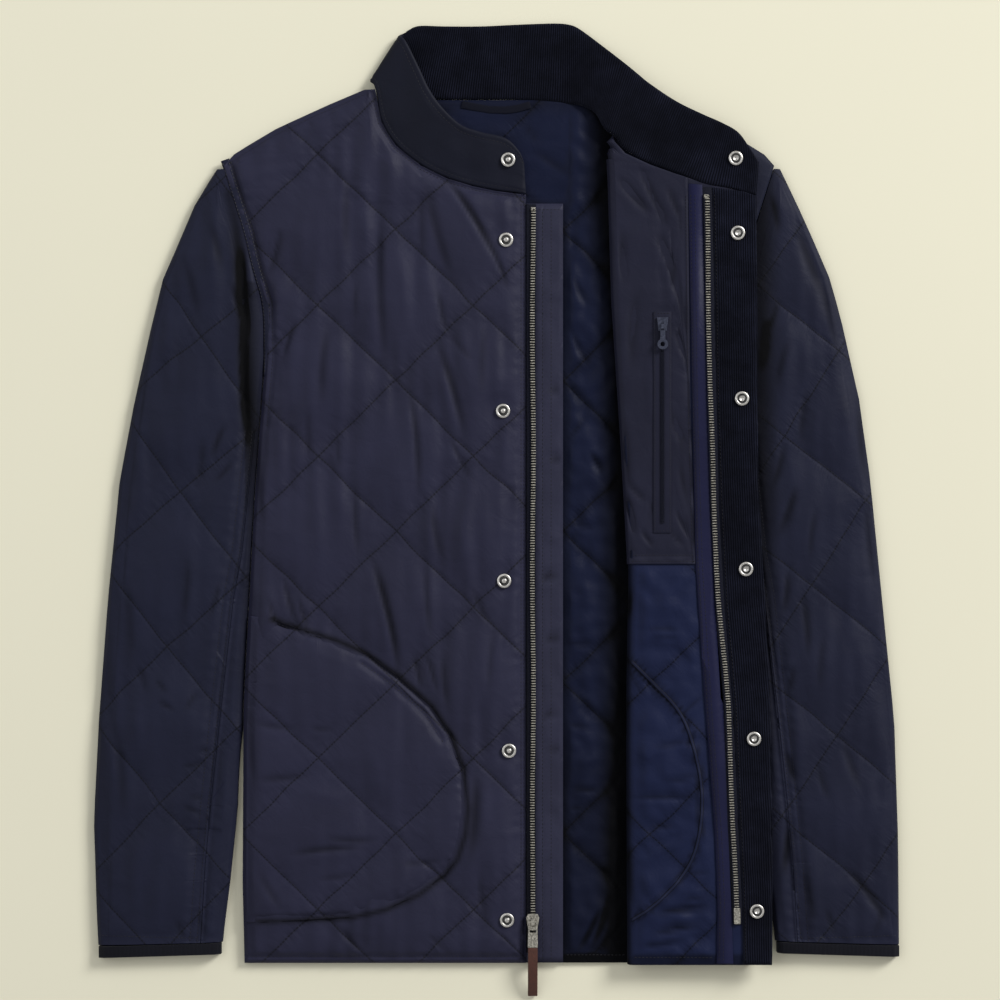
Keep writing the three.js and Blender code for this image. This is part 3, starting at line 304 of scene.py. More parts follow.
def put_in_place(name, bm, materials, node=None, body="jacket", smooth=True):
    """Makes a worked mesh into a piece that rides on a body and stands for its node, if it has one."""
    mesh = bpy.data.meshes.new(name)
    bm.to_mesh(mesh)
    bm.free()
    if smooth:
        mesh.shade_smooth()
    for material in materials:
        mesh.materials.append(material)
    piece = bpy.data.objects.new(name, mesh)
    bpy.context.scene.collection.objects.link(piece)
    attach(piece, body)
    if node:
        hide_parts(node)
    return piece


def panel(name, node, bm, materials, lattice=None, shown=None,
          painted_shade=None):
    """A piece of cloth, with what its material reads: where the quilting is, and how much painted shade it
    gets.
    """
    # Painted shade, from 0 to 1 at each vertex, for the material to darken the cloth by.
    if painted_shade:
        layer = bm.verts.layers.float.new("painted_shade")
        for vert in bm.verts:
            vert[layer] = min(max(painted_shade(vert.co), 0.0), 1.0)
    if lattice:
        layer = bm.verts.layers.float_vector.new("quilt")
        for vert in bm.verts:
            visible = 1.0 if shown is None or shown(vert.co) else 0.0
            vert[layer] = Vector((*lattice(vert.co), visible))
    piece = put_in_place(name, bm, materials, node)
    return piece


def surface(piece):
    mesh = piece.data
    return BVHTree.FromPolygons(
        [vert.co for vert in mesh.vertices], [face.vertices for face in mesh.polygons])


def drop(tree, x, y):
    """Where a line straight down at a place of the plan meets a surface, if it does."""
    return tree.ray_cast(Vector((x, y, 0.1)), Vector((0, 0, -1)))[0]


def walked(row, pitch):
    """Places every pitch along a row of (x, y) in mm, in metres."""
    points = [Vector((x * MM, y * MM, 0)) for x, y in row]
    places = []
    spare = 0.0
    for a, b in zip(points, points[1:]):
        length = (b - a).length
        at = spare
        while at < length:
            places.append((a.lerp(b, at / length), (b - a) / length))
            at += pitch
        spare = at - length
    return places


def add_stitch(bm, a, b, width, rise):
    """One stitch of thread from a to b: pointed at its ends, raised along its middle."""
    side = (b - a).cross(Vector((0, 0, 1))).normalized() * width / 2
    rings = []
    for t in (0.25, 0.75):
        middle = a.lerp(b, t)
        rings.append([bm.verts.new(middle + side), bm.verts.new(middle + Vector((0, 0, rise))),
                      bm.verts.new(middle - side)])
    start, end = bm.verts.new(a), bm.verts.new(b)
    for k in range(3):
        n = (k + 1) % 3
        bm.faces.new((start, rings[0][n], rings[0][k]))
        bm.faces.new((rings[0][k], rings[0][n], rings[1][n], rings[1][k]))
        bm.faces.new((rings[1][k], rings[1][n], end))


def sew(name, piece, rows, thread, pitch=STITCH_PITCH, length=2.2, width=0.55):
    """Rows of stitches that lie on a piece's top."""
    tree = surface(piece)
    bm = bmesh.new()
    for row in rows:
        for start, along in walked(row, pitch * MM):
            ends = []
            for point in (start, start + along * length * MM):
                hit = drop(tree, point.x, point.y)
                if hit:
                    ends.append(hit + Vector((0, 0, -0.02 * MM)))
            if len(ends) == 2 and abs(ends[0].z - ends[1].z) < 1.5 * MM:
                add_stitch(bm, *ends, width * MM, 0.28 * MM)
    bmesh.ops.recalc_face_normals(bm, faces=bm.faces)
    put_in_place(name, bm, [thread], smooth=False)


def aside(row, distance):
    """A row moved sideways by a distance in mm, to its left as it runs."""
    moved = []
    for k, (x, y) in enumerate(row):
        (x0, y0), (x1, y1) = row[max(k - 1, 0)], row[min(k + 1, len(row) - 1)]
        length = math.hypot(x1 - x0, y1 - y0)
        moved.append((x - (y1 - y0) / length * distance, y + (x1 - x0) / length * distance))
    return moved


def rounded(row, times=3):
    """A row with its corners cut again and again, so that it bends evenly."""
    for _ in range(times):
        cut = [row[0]]
        for (x0, y0), (x1, y1) in zip(row, row[1:]):
            cut.append((x0 * 0.75 + x1 * 0.25, y0 * 0.75 + y1 * 0.25))
            cut.append((x0 * 0.25 + x1 * 0.75, y0 * 0.25 + y1 * 0.75))
        row = cut + [row[-1]]
    return row


def off_row(point, row):
    """Distance in mm from a point to a row."""
    place = Vector((point.x, point.y)) / MM
    nearest = 999.0
    for a, b in zip(row, row[1:]):
        a, b = Vector(a), Vector(b)
        t = min(max((place - a).dot(b - a) / (b - a).length_squared, 0), 1)
        nearest = min(nearest, (place - a.lerp(b, t)).length)
    return nearest


def by_row(point, row, width):
    """1 on a row, fading over a width in mm."""
    return math.exp(-(off_row(point, row) / width) ** 2)


def by_quilting(spot, width=4.0):
    """1 on a quilting line at a place of the lattice, fading over a width in mm."""
    across, along = spot
    off_lines = [abs((line + 1) % 2 - 1) for line in (across + along, across - along)]
    return math.exp(-(min(off_lines) * STITCH_SPAN / MM / width) ** 2)


def painted_trough_shade(point, creases):
    """Painted shade in a trough, darker the deeper the trough: its sides would shade each other."""
    return min(max(-creased(point, creases) / (1.6 * MM), 0.0), 1.0) * 0.75


def seam_pull(point, rows, width=2.6, depth=1.2, seed=0.0):
    """How far stitched rows pull the cloth down, with the puckers beside them, in metres."""
    x, y = point.x / MM, point.y / MM
    nearest, place = 99.0, 0.0
    for row in rows:
        for (x0, y0), (x1, y1) in zip(row, row[1:]):
            dx, dy = x1 - x0, y1 - y0
            t = min(max(((x - x0) * dx + (y - y0) * dy) / (dx * dx + dy * dy), 0), 1)
            away = math.hypot(x - x0 - dx * t, y - y0 - dy * t)
            if away < nearest:
                nearest, place = away, (x0 + dx * t) * 0.6 + (y0 + dy * t)
    pucker = math.sin(place / 1.6 + 4 * noise.noise(Vector((place * 0.03, seed, 1.0))))
    strength = 0.5 + noise.noise(Vector((place * 0.05, seed, 4.0)))
    return (-depth * math.exp(-(nearest / width) ** 2)
            + 0.45 * strength * pucker * math.exp(-abs(nearest - 4) / 3)) * MM


navy_thread, shader, place = finish("navy_thread", 0.55, sheen=0.1, specular=0.3)
twist = noise_of(place, 2500.0, 2.0)
feed(shader, "Base Color", colour_mix(twist, shade(THREAD, 0.6), shade(THREAD, 1.5)))
bumped(shader, twist, 0.0001)

FRONT_TOP = 0.262       # height of the fronts' upper end in the plan
HEM_ROW = -369.5        # the lining's hem stitches, in mm
ARMHOLE = [(-199, 71), (-194.4, 129), (-195, 172), (-203.4, 198), (-210.5, 230), (-220, 260), (-229, 288)]
SHOULDER = [(-226.5, 292), (-216, 299.6), (-188.4, 316.2), (-153.6, 332.8), (-113, 350)]
NECK_SEAM = [(22.4, 263.1), (-1.2, 265.6), (-22.4, 269.8), (-43.6, 276.4), (-64.7, 286.7), (-85.9, 303.8),
             (-97.5, 323), (-102.9, 350)]
RIGHT_FRONT_ROWS = [
    aside(ARMHOLE, -6.6), aside(SHOULDER, -4.2), aside(NECK_SEAM, 3.0),
    # down the front edge twice, and along the hem
    [(18.3, -373), (18.3, 262)], [(20.4, -373), (20.4, 262)], [(-209, -370.2), (18.3, -370.2)],
]
shell_cloth = woven("shell_cloth", NAVY)
LINING_BLUE = (0.0056, 0.0082, 0.0265)
# The back's lining: lining blue painted darker, for the shade it lies in between the raised fronts.
shaded_lining_cloth = woven(
    "shaded_lining_cloth", shade(LINING_BLUE, 0.9), roughness=0.5, sheen=0.01, pitch=0.35, specular=0.08)


def faces_up(face):
    return face.normal.z > 0.35


snaps = [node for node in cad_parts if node.startswith("snap")]
snap_places = [(low + high) / 2 for low, high in map(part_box, snaps)]
snap_places = [Vector((place.x, place.y, 0)) for place in snap_places]


def clear_of_snaps(point):
    """The cloth stays flat under a snap: 0 there, 1 well away from it."""
    near = min((Vector((point.x, point.y, 0)) - place).length for place in snap_places)
    return ease(near, 7 * MM, 18 * MM)


bm = welded("front_right")
inner, rim = refined(bm, faces_up, 8)
for vert in inner:
    away = rim.find(vert.co)[2]
    across, along = body_lattice(vert.co)
    padded = quilting(across, along, 1.0) + drift(vert.co, 0.045, 1.1, 1.0)
    loose = creased(vert.co, RIGHT_FRONT_CREASES) + hung(vert.co, 2.5, 4.0)
    loose += drift(vert.co, 0.016, 0.3, 4.0)
    pulled = seam_pull(vert.co, RIGHT_FRONT_ROWS)
    vert.co.z += ease(away, 3 * MM, 18 * MM) * clear_of_snaps(vert.co) * padded
    vert.co.z += ease(away, 2 * MM, 10 * MM) * loose + ease(away, 0, 2 * MM) * pulled
POCKET_EDGE = [
    (-188.4, -89.6), (-162, -98.8), (-135.3, -107), (-108.7, -118.7), (-82.2, -137.8), (-55.6, -161.5),
    (-39.8, -185), (-29, -214.6), (-25.7, -246.5), (-27.7, -267.8), (-34.4, -288.8), (-44.8, -302),
    (-66.4, -318), (-93, -330), (-122, -337), (-162, -339.5), (-200, -340.5),
]


def right_front_painted_shade(point):
    """Painted shade in the troughs, a little on the quilting lines, beside the armhole and round the
    pocket.
    """
    seam = 0.6 * by_row(point, RIGHT_FRONT_ROWS[0], 1.1) * ease(point.y, 0.15, 0.18)
    beside_pocket = 0.8 * by_row(point, POCKET_EDGE, 2.6)
    quilted = 0.1 * by_quilting(body_lattice(point))
    return painted_trough_shade(point, RIGHT_FRONT_CREASES) + quilted + seam + beside_pocket


right_front = panel(
    "right_front", "front_right", bm, [shaded_lining_cloth, shell_cloth],
    lattice=body_lattice, painted_shade=right_front_painted_shade)
sew("right_front_stitches", right_front, RIGHT_FRONT_ROWS, navy_thread)

# Curved hip pocket on the right front: one more layer of the quilted shell, its round edge turned
# under and stitched, its upper lip bound double.
POCKET_CREASES = [
    (-140, -271, -103, -273, 2.4, -0.9), (-172, -284, -112, -279, 2.6, -1.2),
    (-198, -222, -158, -219, 3.0, -0.8), (-156, -180, -138, -181, 2.2, -0.6),
    (-202, -176, -170, -180, 2.8, -0.7), (-150, -305, -118, -301, 2.4, -0.6),
    (-100, -200, -96, -240, 5.0, 0.6), (-60, -200, -58, -250, 4.5, 0.5), (-170, -230, -120, -238, 5.0, 0.6),
    (-198, -300, -180, -330, 3.0, -0.7), (-80, -292, -50, -290, 2.6, -0.6),
    (-206, -150, -203, -230, 3.0, -0.8),
]
POCKET_LIP = aside(POCKET_EDGE[3:7], -9.0)
POCKET_ROWS = [aside(POCKET_EDGE, -2.4), POCKET_LIP]
bm = welded("pocket_right")
inner, rim = refined(bm, faces_up, 8, smooth=16)
for vert in inner:
    away = rim.find(vert.co)[2]
    across, along = body_lattice(vert.co)
    rise = quilting(across, along, 1.0) * ease(away, 4 * MM, 16 * MM)
    loose = creased(vert.co, POCKET_CREASES) + hung(vert.co, 1.4, 14.0)
    vert.co.z += rise + ease(away, 0, 8 * MM) * (loose + 0.9 * MM)
    vert.co.z += ease(away, 0, 2 * MM) * seam_pull(vert.co, POCKET_ROWS, depth=1.5, seed=5.0)
# Painted shade in the pocket's troughs and along its round edge.
hip_pocket = panel(
    "hip_pocket", "pocket_right", bm, [shell_cloth, shell_cloth],
    lattice=body_lattice,
    painted_shade=lambda point: painted_trough_shade(point, POCKET_CREASES) + 0.9 * by_row(point, POCKET_EDGE, 2.2))
sew("hip_pocket_stitches", hip_pocket, POCKET_ROWS, navy_thread)

# Back: the widest panel, flat on the table, lining up where the front stands open. Its lining is
# quilted on the same diamonds.
BACK_CROSS = (53.3 * MM, -142.4 * MM)
BACK_CREASES = [
    (56, -110, 78, -111, 2.0, -0.9), (57, -178, 76, -180, 2.0, -0.8), (60, -230, 82, -232, 2.2, -0.9),
    (58, -248, 70, -246, 1.8, -0.7), (84, -330, 66, -366, 2.6, -1.6), (92, -320, 76, -366, 2.6, -1.3),
    (56, -205, 88, -208, 3.4, 0.8), (60, 150, 76, 120, 2.2, -0.9), (62, 195, 74, 170, 2.6, -0.7),
    (56, 60, 72, 78, 2.0, -0.8), (76, 48, 86, 32, 2.4, -1.2), (30, 300, 60, 280, 3.4, -0.8),
    (20, 325, 34, 305, 3.0, -0.7), (60, -10, 80, -14, 2.2, -0.6),
]


def in_the_opening(face):
    middle = face.calc_center_median()
    return face.normal.z > 0.35 and -0.11 < middle.x < 0.13


def back_lattice(point):
    x, y = wander(point)
    return (x - BACK_CROSS[0]) / DIAMOND["half_width"], (y - BACK_CROSS[1]) / DIAMOND["half_height"]


bm = welded("back")
inner, rim = refined(bm, in_the_opening, 6)
for vert in inner:
    away = rim.find(vert.co)[2]
    right = ease(vert.co.x, 0.054, 0.062) * ease(vert.co.y, -0.376, -0.36)
    upper = ease(vert.co.y, FRONT_TOP, 0.275)
    open_part = max(right, upper * 0.5) * ease(away, 1 * MM, 12 * MM)
    loose = creased(vert.co, BACK_CREASES) + drift(vert.co, 0.011, 1.1, 21.0)
    across, along = back_lattice(vert.co)
    vert.co.z += open_part * (quilting(across, along, 2.0, 2.6, 0.9, 0.7) + 1.8 * loose)


def back_painted_shade(point):
    """Painted shade on the lining under the folded front, the flap and the collar, darker towards the
    bottom, in the troughs and on the quilting lines, and a dark strip at its turned hem.
    """
    edge = 0.101 - 0.013 * ease(point.y, 0.12, 0.28)
    beside_fold = 0.95 * ease(point.x, edge - 0.025, edge)
    beside_flap = 0.45 * (1 - ease(point.x, 0.053, 0.061)) * ease(FRONT_TOP - point.y, 0, 0.01)
    hem = 0.7 * (1 - ease(point.y, -0.370, -0.366))
    under_collar = 0.35 * ease(point.y, 0.325, 0.342)
    low_down = 0.3 * ease(-point.y, 0.1, 0.3)
    uneven = painted_trough_shade(point, BACK_CREASES) + 0.32 * by_quilting(back_lattice(point))
    return max(beside_fold, beside_flap, hem) + uneven + low_down + under_collar


back_panel = panel(
    "back_panel", "back", bm, [shaded_lining_cloth, shaded_lining_cloth], lattice=back_lattice,
    shown=lambda point: point.x > 0.05 or point.y > FRONT_TOP, painted_shade=back_painted_shade)
sew("back_hem_stitches", back_panel, [[(56, HEM_ROW), (104, HEM_ROW)]], navy_thread)

# The wearer's left front, turned back over itself at a soft fold: what shows is its blue lining,
# quilted below the chest panel, with the bound seam of the pocket behind.
FOLD = {"outer": 4.65 * MM, "centre_z": 11.55 * MM}
LEFT_FRONT_CREASES = [
    (122, -98, 148, -96, 2.0, -0.8), (126, -105, 146, -104, 1.8, -0.7), (128, -194, 158, -190, 2.2, -0.8),
    (136, -224, 164, -218, 2.4, -0.7), (108, -235, 160, -236, 2.2, -1.0), (122, -262, 146, -260, 2.2, -0.8),
    (130, -333, 174, -328, 2.6, -1.5), (128, -350, 166, -342, 2.8, -1.3), (160, -299, 176, -301, 1.8, -0.9),
    (152, -318, 174, -322, 2.0, -0.8), (108, -132, 118, -150, 2.0, -0.9), (107, -90, 110, -62, 3.0, -0.8),
    (150, -168, 170, -152, 1.8, -0.7), (136, -70, 150, -60, 3.0, 0.6), (110, -280, 112, -330, 3.4, -0.7),
    (110, -200, 130, -204, 3.4, 0.7), (118, -360, 150, -356, 2.2, -0.8),
]


def folded_top(face):
    middle = face.calc_center_median()
    return (face.normal.z > 0.2 and middle.z > 11 * MM) or (face.normal.x < -0.25 and middle.z > 6 * MM)


bm = welded("front_left")
inner, rim = refined(bm, folded_top, 5, smooth=0)
FOLD_ROWS = 400         # rows to a metre in which the fold's outer edge is kept
fold_points = {}
for vert in bm.verts:
    row = round(vert.co.y * FOLD_ROWS)
    if row not in fold_points or vert.co.x < fold_points[row]:
        fold_points[row] = vert.co.x


def fold_at(y):
    """Where the fold's outer edge is at a height of the plan."""
    row = round(y * FOLD_ROWS)
    near = [fold_points[k] for k in range(row - 4, row + 5) if k in fold_points]
    return sum(near) / len(near)


STRIP_ROWS = 50         # rows to a metre in which the facing strip's left edge is kept
strip_left = {}
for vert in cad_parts["facing_strip"].data.vertices:
    row = round(vert.co.y * STRIP_ROWS)
    strip_left[row] = min(strip_left.get(row, 1.0), vert.co.x)


def strip_edge(y):
    row = round(y * STRIP_ROWS)
    near = [strip_left[k] for k in (row - 1, row, row + 1) if k in strip_left]
    return sum(near) / len(near) if near else 0.157


def left_lattice(point):
    """The body's quilting, mirrored and carried round the fold."""
    unfolded = 2 * (fold_at(point.y) + FOLD["outer"]) - point.x - 10 * MM
    if point.z < FOLD["centre_z"]:
        unfolded = point.x
    return body_lattice(Vector((unfolded, point.y, 0)), -1)


for vert in inner:
    centre = fold_at(vert.co.y) + FOLD["outer"]
    if vert.co.x < centre and vert.co.y < 0.3:
        angle = math.atan2(vert.co.z - FOLD["centre_z"], vert.co.x - centre)
        swell = FOLD["outer"] * (1 + 0.05 * noise.noise(Vector((0, vert.co.y * 22, 4))))
        vert.co.x = centre + swell * math.cos(angle)
        vert.co.z = FOLD["centre_z"] + swell * math.sin(angle)
flat_part = [vert for vert in inner if vert.co.x > fold_at(vert.co.y) + FOLD["outer"]]
for _ in range(12):
    bmesh.ops.smooth_vert(bm, verts=flat_part, factor=0.5, use_axis_z=True)
for vert in flat_part:
    away = rim.find(vert.co)[2]
    past_fold = vert.co.x - fold_at(vert.co.y) - FOLD["outer"]
    shown = ease(past_fold, 0, 12 * MM) * ease(strip_edge(vert.co.y) - vert.co.x, 1 * MM, 9 * MM)
    shown *= ease(-0.045 - vert.co.y, 0, 8 * MM) * ease(away, 2 * MM, 12 * MM)
    across, along = left_lattice(vert.co)
    loose = creased(vert.co, LEFT_FRONT_CREASES) + drift(vert.co, 0.012, 1.0, 23.0)
    vert.co.z += shown * (quilting(across, along, 3.0, 2.4, 0.8, 0.7) + 2.1 * loose)
for face in bm.faces:
    below = face.calc_center_median().z < FOLD["centre_z"]
    if face.calc_center_median().y > FRONT_TOP and not below:
        face.material_index = 3
    if face.material_index == 0 and abs(face.normal.z) > 0.2 and below == (face.normal.z > 0):
        face.material_index = 2
LEFT_POCKET_SEAM = rounded([
    (107, -122), (125, -140), (150, -165), (160, -190), (168, -225), (168, -255), (162, -285), (150, -305),
    (130, -325), (108, -340),
])


def left_front_painted_shade(point):
    """Painted shade under the fold's outer edge, beside the pocket's seam, on the quilting lines and in the
    troughs, and a dark strip along the hem.
    """
    fold = 0.75 * (1 - ease(point.x - fold_at(point.y), 0, 8 * MM)) * ease(0.3 - point.y, 0, 0.02)
    seam = 0.6 * math.exp(-((off_row(point, LEFT_POCKET_SEAM) - 2.4) / 1.3) ** 2)
    hem = 0.6 * (1 - ease(point.y, -0.369, -0.365))
    quilted = 0.25 * by_quilting(left_lattice(point), 3.0)
    return max(fold, seam, hem) + painted_trough_shade(point, LEFT_FRONT_CREASES) + quilted


# Folded lining: the same lining blue painted lighter, for the light on the fold that stands up: painted
# light.
lit_fold_lining_cloth = woven(
    "lit_folded_lining", shade(LINING_BLUE, 1.4), roughness=0.5, sheen=0.01, pitch=0.35, specular=0.08)
chest_cloth = woven("chest_cloth", (0.0098, 0.0105, 0.0235), quilted=False, specular=0.11)
under_shell = woven("left_shell_cloth", (0.0082, 0.0097, 0.0225), quilted=False, specular=0.11)
left_front = panel(
    "left_front", "front_left", bm, [lit_fold_lining_cloth, lit_fold_lining_cloth, under_shell, chest_cloth],
    lattice=left_lattice, painted_shade=left_front_painted_shade,
    shown=lambda point: point.z < 0.0115 or point.y < -0.046 and point.x < strip_edge(point.y))
sew("left_front_stitches", left_front, [[(112, HEM_ROW), (176, HEM_ROW)]], navy_thread)

# Chest panel on the inside of the left front: plain unquilted shell cloth with a zipped pocket. It is
# sewn on flat over the lining, hemmed below, and its other edge runs under the fold.
CHEST_CREASES = [
    (133, 226, 147, 186, 2.6, -1.7), (144, 192, 158, 148, 2.2, -1.3), (100, 275, 126, 246, 3.2, -1.0),
    (118, 284, 140, 236, 2.6, -0.9), (146, 152, 159, 118, 2.0, -1.0), (140, 86, 158, 48, 2.4, -1.0),
    (132, 20, 124, -8, 2.0, -0.6), (104, 12, 112, -20, 2.4, -1.6), (106, 24, 122, 8, 2.4, -0.8),
    (104, 70, 108, 20, 3.0, -0.8), (114, 180, 110, 120, 3.6, -0.7), (126, 130, 128, 70, 2.4, 0.6),
    (150, 40, 156, 8, 2.0, -0.8), (118, -16, 128, -30, 1.8, -0.8), (140, -14, 152, -28, 1.8, -0.6),
    (102, 230, 104, 190, 3.0, -0.8), (140, 268, 152, 240, 2.2, -0.8), (147, -2, 158, -22, 1.8, -0.7),
]
CHEST_HEM = [(107, -36.6), (161.4, -36.6)]
CHEST_SIDE = [(160.2, -43), (156.4, 92), (154.6, 262)]
CHEST_ROWS = [CHEST_HEM, CHEST_SIDE, [(135.2, 165), (133.5, 246)]]
CHEST_ZIP_X = 0.1352


def chest_top(face):
    round_the_fold = face.normal.x < -0.3 and face.calc_area() > 8e-6
    return face.normal.z > 0.35 or round_the_fold


bm = welded("chest_panel")
inner, rim = refined(bm, chest_top, 6)
for vert in inner:
    away = rim.find(vert.co)[2]
    near_zip = 1.0
    if -0.02 < vert.co.y < 0.17:
        near_zip = ease(abs(vert.co.x - CHEST_ZIP_X), 6 * MM, 12 * MM)
    relief = 1.4 * creased(vert.co, CHEST_CREASES) + drift(vert.co, 0.03, 0.8, 9.0)
    vert.co.z += ease(away, 1 * MM, 7 * MM) * near_zip * relief
    vert.co.z += ease(away, 0, 2 * MM) * seam_pull(vert.co, CHEST_ROWS, 2.2, 0.8, 6.0)
# Painted shade in the chest panel's troughs.
chest_panel = panel(
    "chest_panel_cloth", "chest_panel", bm, [chest_cloth, chest_cloth],
    painted_shade=lambda point: painted_trough_shade(point, CHEST_CREASES))
sew("chest_panel_stitches", chest_panel, [CHEST_HEM, aside(CHEST_HEM, -5), CHEST_SIDE],
    navy_thread, pitch=2.8, length=2.0)

# Sleeves: a top sleeve and an under sleeve each, of the same quilted shell, sewn together down the
# front seam. Their quilting follows each sleeve's own line, which bends at the elbow.
RIGHT_QUILTING = {
    "half_width": 60 * MM, "half_height": 64.5 * MM, "y": 16 * MM,
    "line": [  # y, x and the slant of the quilting's rows there
        (-0.370, 0.2835, -0.03), (-0.241, 0.2805, 0.04), (-0.1145, 0.275, 0.08), (0.016, 0.265, 0.13),
        (0.145, 0.247, 0.15), (0.230, 0.236, 0.1), (0.289, 0.230, 0.0),
    ],
}
LEFT_QUILTING = {
    "half_width": 57 * MM, "half_height": 62.2 * MM, "y": 62.7 * MM,
    "line": [
        (-0.370, 0.311, -0.03), (-0.357, 0.309, -0.03), (-0.311, 0.302, 0.06), (-0.186, 0.2805, 0.13),
        (-0.059, 0.259, 0.15), (0.0627, 0.2366, 0.15), (0.187, 0.215, 0.12), (0.289, 0.199, 0.0),
    ],
}
RIGHT_SLEEVE_CREASES = [
    (214, 214, 209, 150, 3.6, -4.2), (210, 160, 209, 60, 3.4, -3.6), (222, 190, 216, 160, 2.6, -1.0),
    (228, 70, 238, 44, 2.4, -1.2), (222, 40, 236, 24, 2.2, -0.9), (246, 60, 250, 20, 3.0, -0.8),
    (258, -40, 262, -90, 3.0, -0.9), (232, -60, 240, -88, 2.2, -0.9), (285, -140, 276, -150, 2.0, -0.9),
    (282, -158, 270, -165, 2.0, -0.9), (300, -128, 292, -152, 2.4, -0.7), (260, -165, 250, -150, 2.0, -0.8),
    (248, -196, 240, -200, 1.8, -0.8), (262, -212, 246, -210, 2.0, -0.8), (256, -236, 246, -238, 1.8, -0.9),
    (262, -246, 248, -250, 2.0, -0.8), (268, -340, 262, -356, 2.4, -0.9), (250, -330, 246, -354, 2.2, -0.9),
    (280, 150, 274, 90, 5.0, 0.9), (300, 60, 296, -10, 4.5, 0.7), (310, -60, 306, -130, 4.5, -0.8),
    (318, -180, 312, -250, 4.0, -0.8), (240, 240, 230, 200, 3.4, -1.0), (262, 210, 250, 160, 3.6, -0.8),
]
LEFT_SLEEVE_CREASES = [
    (226, 262, 232, 230, 3.0, -1.3), (246, 240, 270, 180, 4.2, -1.0), (262, 230, 284, 160, 4.0, 0.9),
    (270, 190, 282, 130, 3.0, -0.8), (222, 160, 218, 118, 4.0, -1.6), (232, 176, 224, 150, 2.6, -1.1),
    (240, 142, 230, 104, 3.0, -0.9), (256, 100, 250, 56, 3.0, -0.9), (264, 90, 262, 40, 3.4, 0.7),
    (236, 54, 228, 20, 2.8, -1.2), (246, 20, 232, -20, 3.4, -1.3), (262, 0, 258, -40, 2.6, -0.9),
    (240, -50, 236, -84, 2.6, -1.3), (252, -70, 256, -120, 3.0, -1.2), (270, -100, 266, -150, 3.0, -0.7),
    (244, -130, 240, -150, 2.2, -1.1), (300, 90, 304, 30, 3.4, -0.8), (306, 10, 312, -60, 3.2, -0.8),
    (290, -60, 296, -120, 4.2, 0.7), (286, -190, 300, -230, 3.4, -0.8), (264, -210, 274, -240, 2.6, -0.8),
    (238, -200, 244, -226, 3.0, -1.6), (240, -262, 236, -300, 3.6, -1.6), (292, -300, 322, -340, 3.4, -1.4),
    (272, -330, 280, -354, 2.8, -0.9), (312, -350, 318, -330, 2.4, -0.8), (254, -300, 262, -340, 2.8, -0.9),
]


def sleeve_lattice(point):
    """A sleeve's own lattice, whose rows lean with the slant at each height."""
    plan = RIGHT_QUILTING if point.x < 0 else LEFT_QUILTING
    line = plan["line"]
    x, y = wander(point)
    v = y
    for _ in range(5):
        k = next((k for k in range(1, len(line)) if v <= line[k][0]), len(line) - 1)
        (low, x0, s0), (high, x1, s1) = line[k - 1], line[k]
        t = min(max((v - low) / (high - low), 0.0), 1.0)
        middle, slant = x0 + (x1 - x0) * t, s0 + (s1 - s0) * t
        v = y - slant * (abs(x) - middle)
    return (abs(x) - middle) / plan["half_width"], (v - plan["y"]) / plan["half_height"]


def above_the_floor(face):
    return face.normal.z > 0.35 and face.calc_center_median().z > 3.2 * MM


FRONT_SEAM = [
    (248.6, -358), (244, -294), (239, -241), (232.4, -177.6), (227, -129.5), (220.3, -71), (213.6, -35),
    (207, 26), (203, 66),
]
CUFF_ROW = [(238, -355), (329, -352.5)]


def mirrored_row(row, sign):
    return [(x * sign, y) for x, y in row]


BESIDE_BODY = rounded([
    (224, 262), (218, 235), (213, 180), (211, 130), (208, 90), (205, 40), (207, -60), (211, -160),
    (212, -250),
])


def sleeve_painted_shade(point):
    """Painted shade: the right sleeve's where it dives beside the body, darkest at the armhole; the left
    one's under the placket; both in their troughs.
    """
    mirrored = Vector((abs(point.x), point.y, 0))
    if point.x > 0:
        return 0.8 * (1 - ease(point.x, 0.218, 0.236)) + painted_trough_shade(mirrored, LEFT_SLEEVE_CREASES)
    strength = 0.5 + 0.45 * ease(point.y, 0.0, 0.09) * (1 - ease(point.y, 0.2, 0.26))
    in_the_dip = point.x > -0.211 and 0.0 < point.y < 0.19
    beside = strength * by_row(mirrored, BESIDE_BODY, 5.0 / 0.45 if in_the_dip else 5.0)
    return beside + painted_trough_shade(mirrored, RIGHT_SLEEVE_CREASES)


def make_sleeve(side, sign, part, seed, cuts):
    node = f"sleeve_{side}_{part}"
    bm = welded(node)
    inner, rim = refined(bm, above_the_floor, cuts, smooth=16)
    creases = RIGHT_SLEEVE_CREASES if sign < 0 else LEFT_SLEEVE_CREASES
    seams = [aside(FRONT_SEAM, gap) for gap in ((-2.2, -8.2) if part == "upper" else (2,))]
    for vert in inner:
        away = rim.find(vert.co)[2]
        across, along = sleeve_lattice(vert.co)
        mirrored = Vector((abs(vert.co.x), vert.co.y, 0))
        fade = ease(away, 3 * MM, 16 * MM)
        covered = 1.0 if sign < 0 else ease(vert.co.x, 0.222, 0.24)
        relief = quilting(across, along, seed, 2.0, 0.6) + drift(vert.co, 0.05, 1.4, seed)
        loose = creased(mirrored, creases) + hung(vert.co, 1.9, seed)
        vert.co.z += covered * (fade * relief + ease(away, 0, 6 * MM) * loose)
        vert.co.z += ease(away, 0, 2 * MM) * seam_pull(mirrored, seams, seed=seed)
    cloth = panel(f"{side}_{part}_sleeve", node, bm, [shaded_sleeve_cloth, shaded_sleeve_cloth],
                  lattice=sleeve_lattice, painted_shade=sleeve_painted_shade)
    if part == "upper":
        rows = [mirrored_row(row, sign) for row in (*seams, CUFF_ROW)]
        sew(f"{side}_sleeve_stitches", cloth, rows, navy_thread)


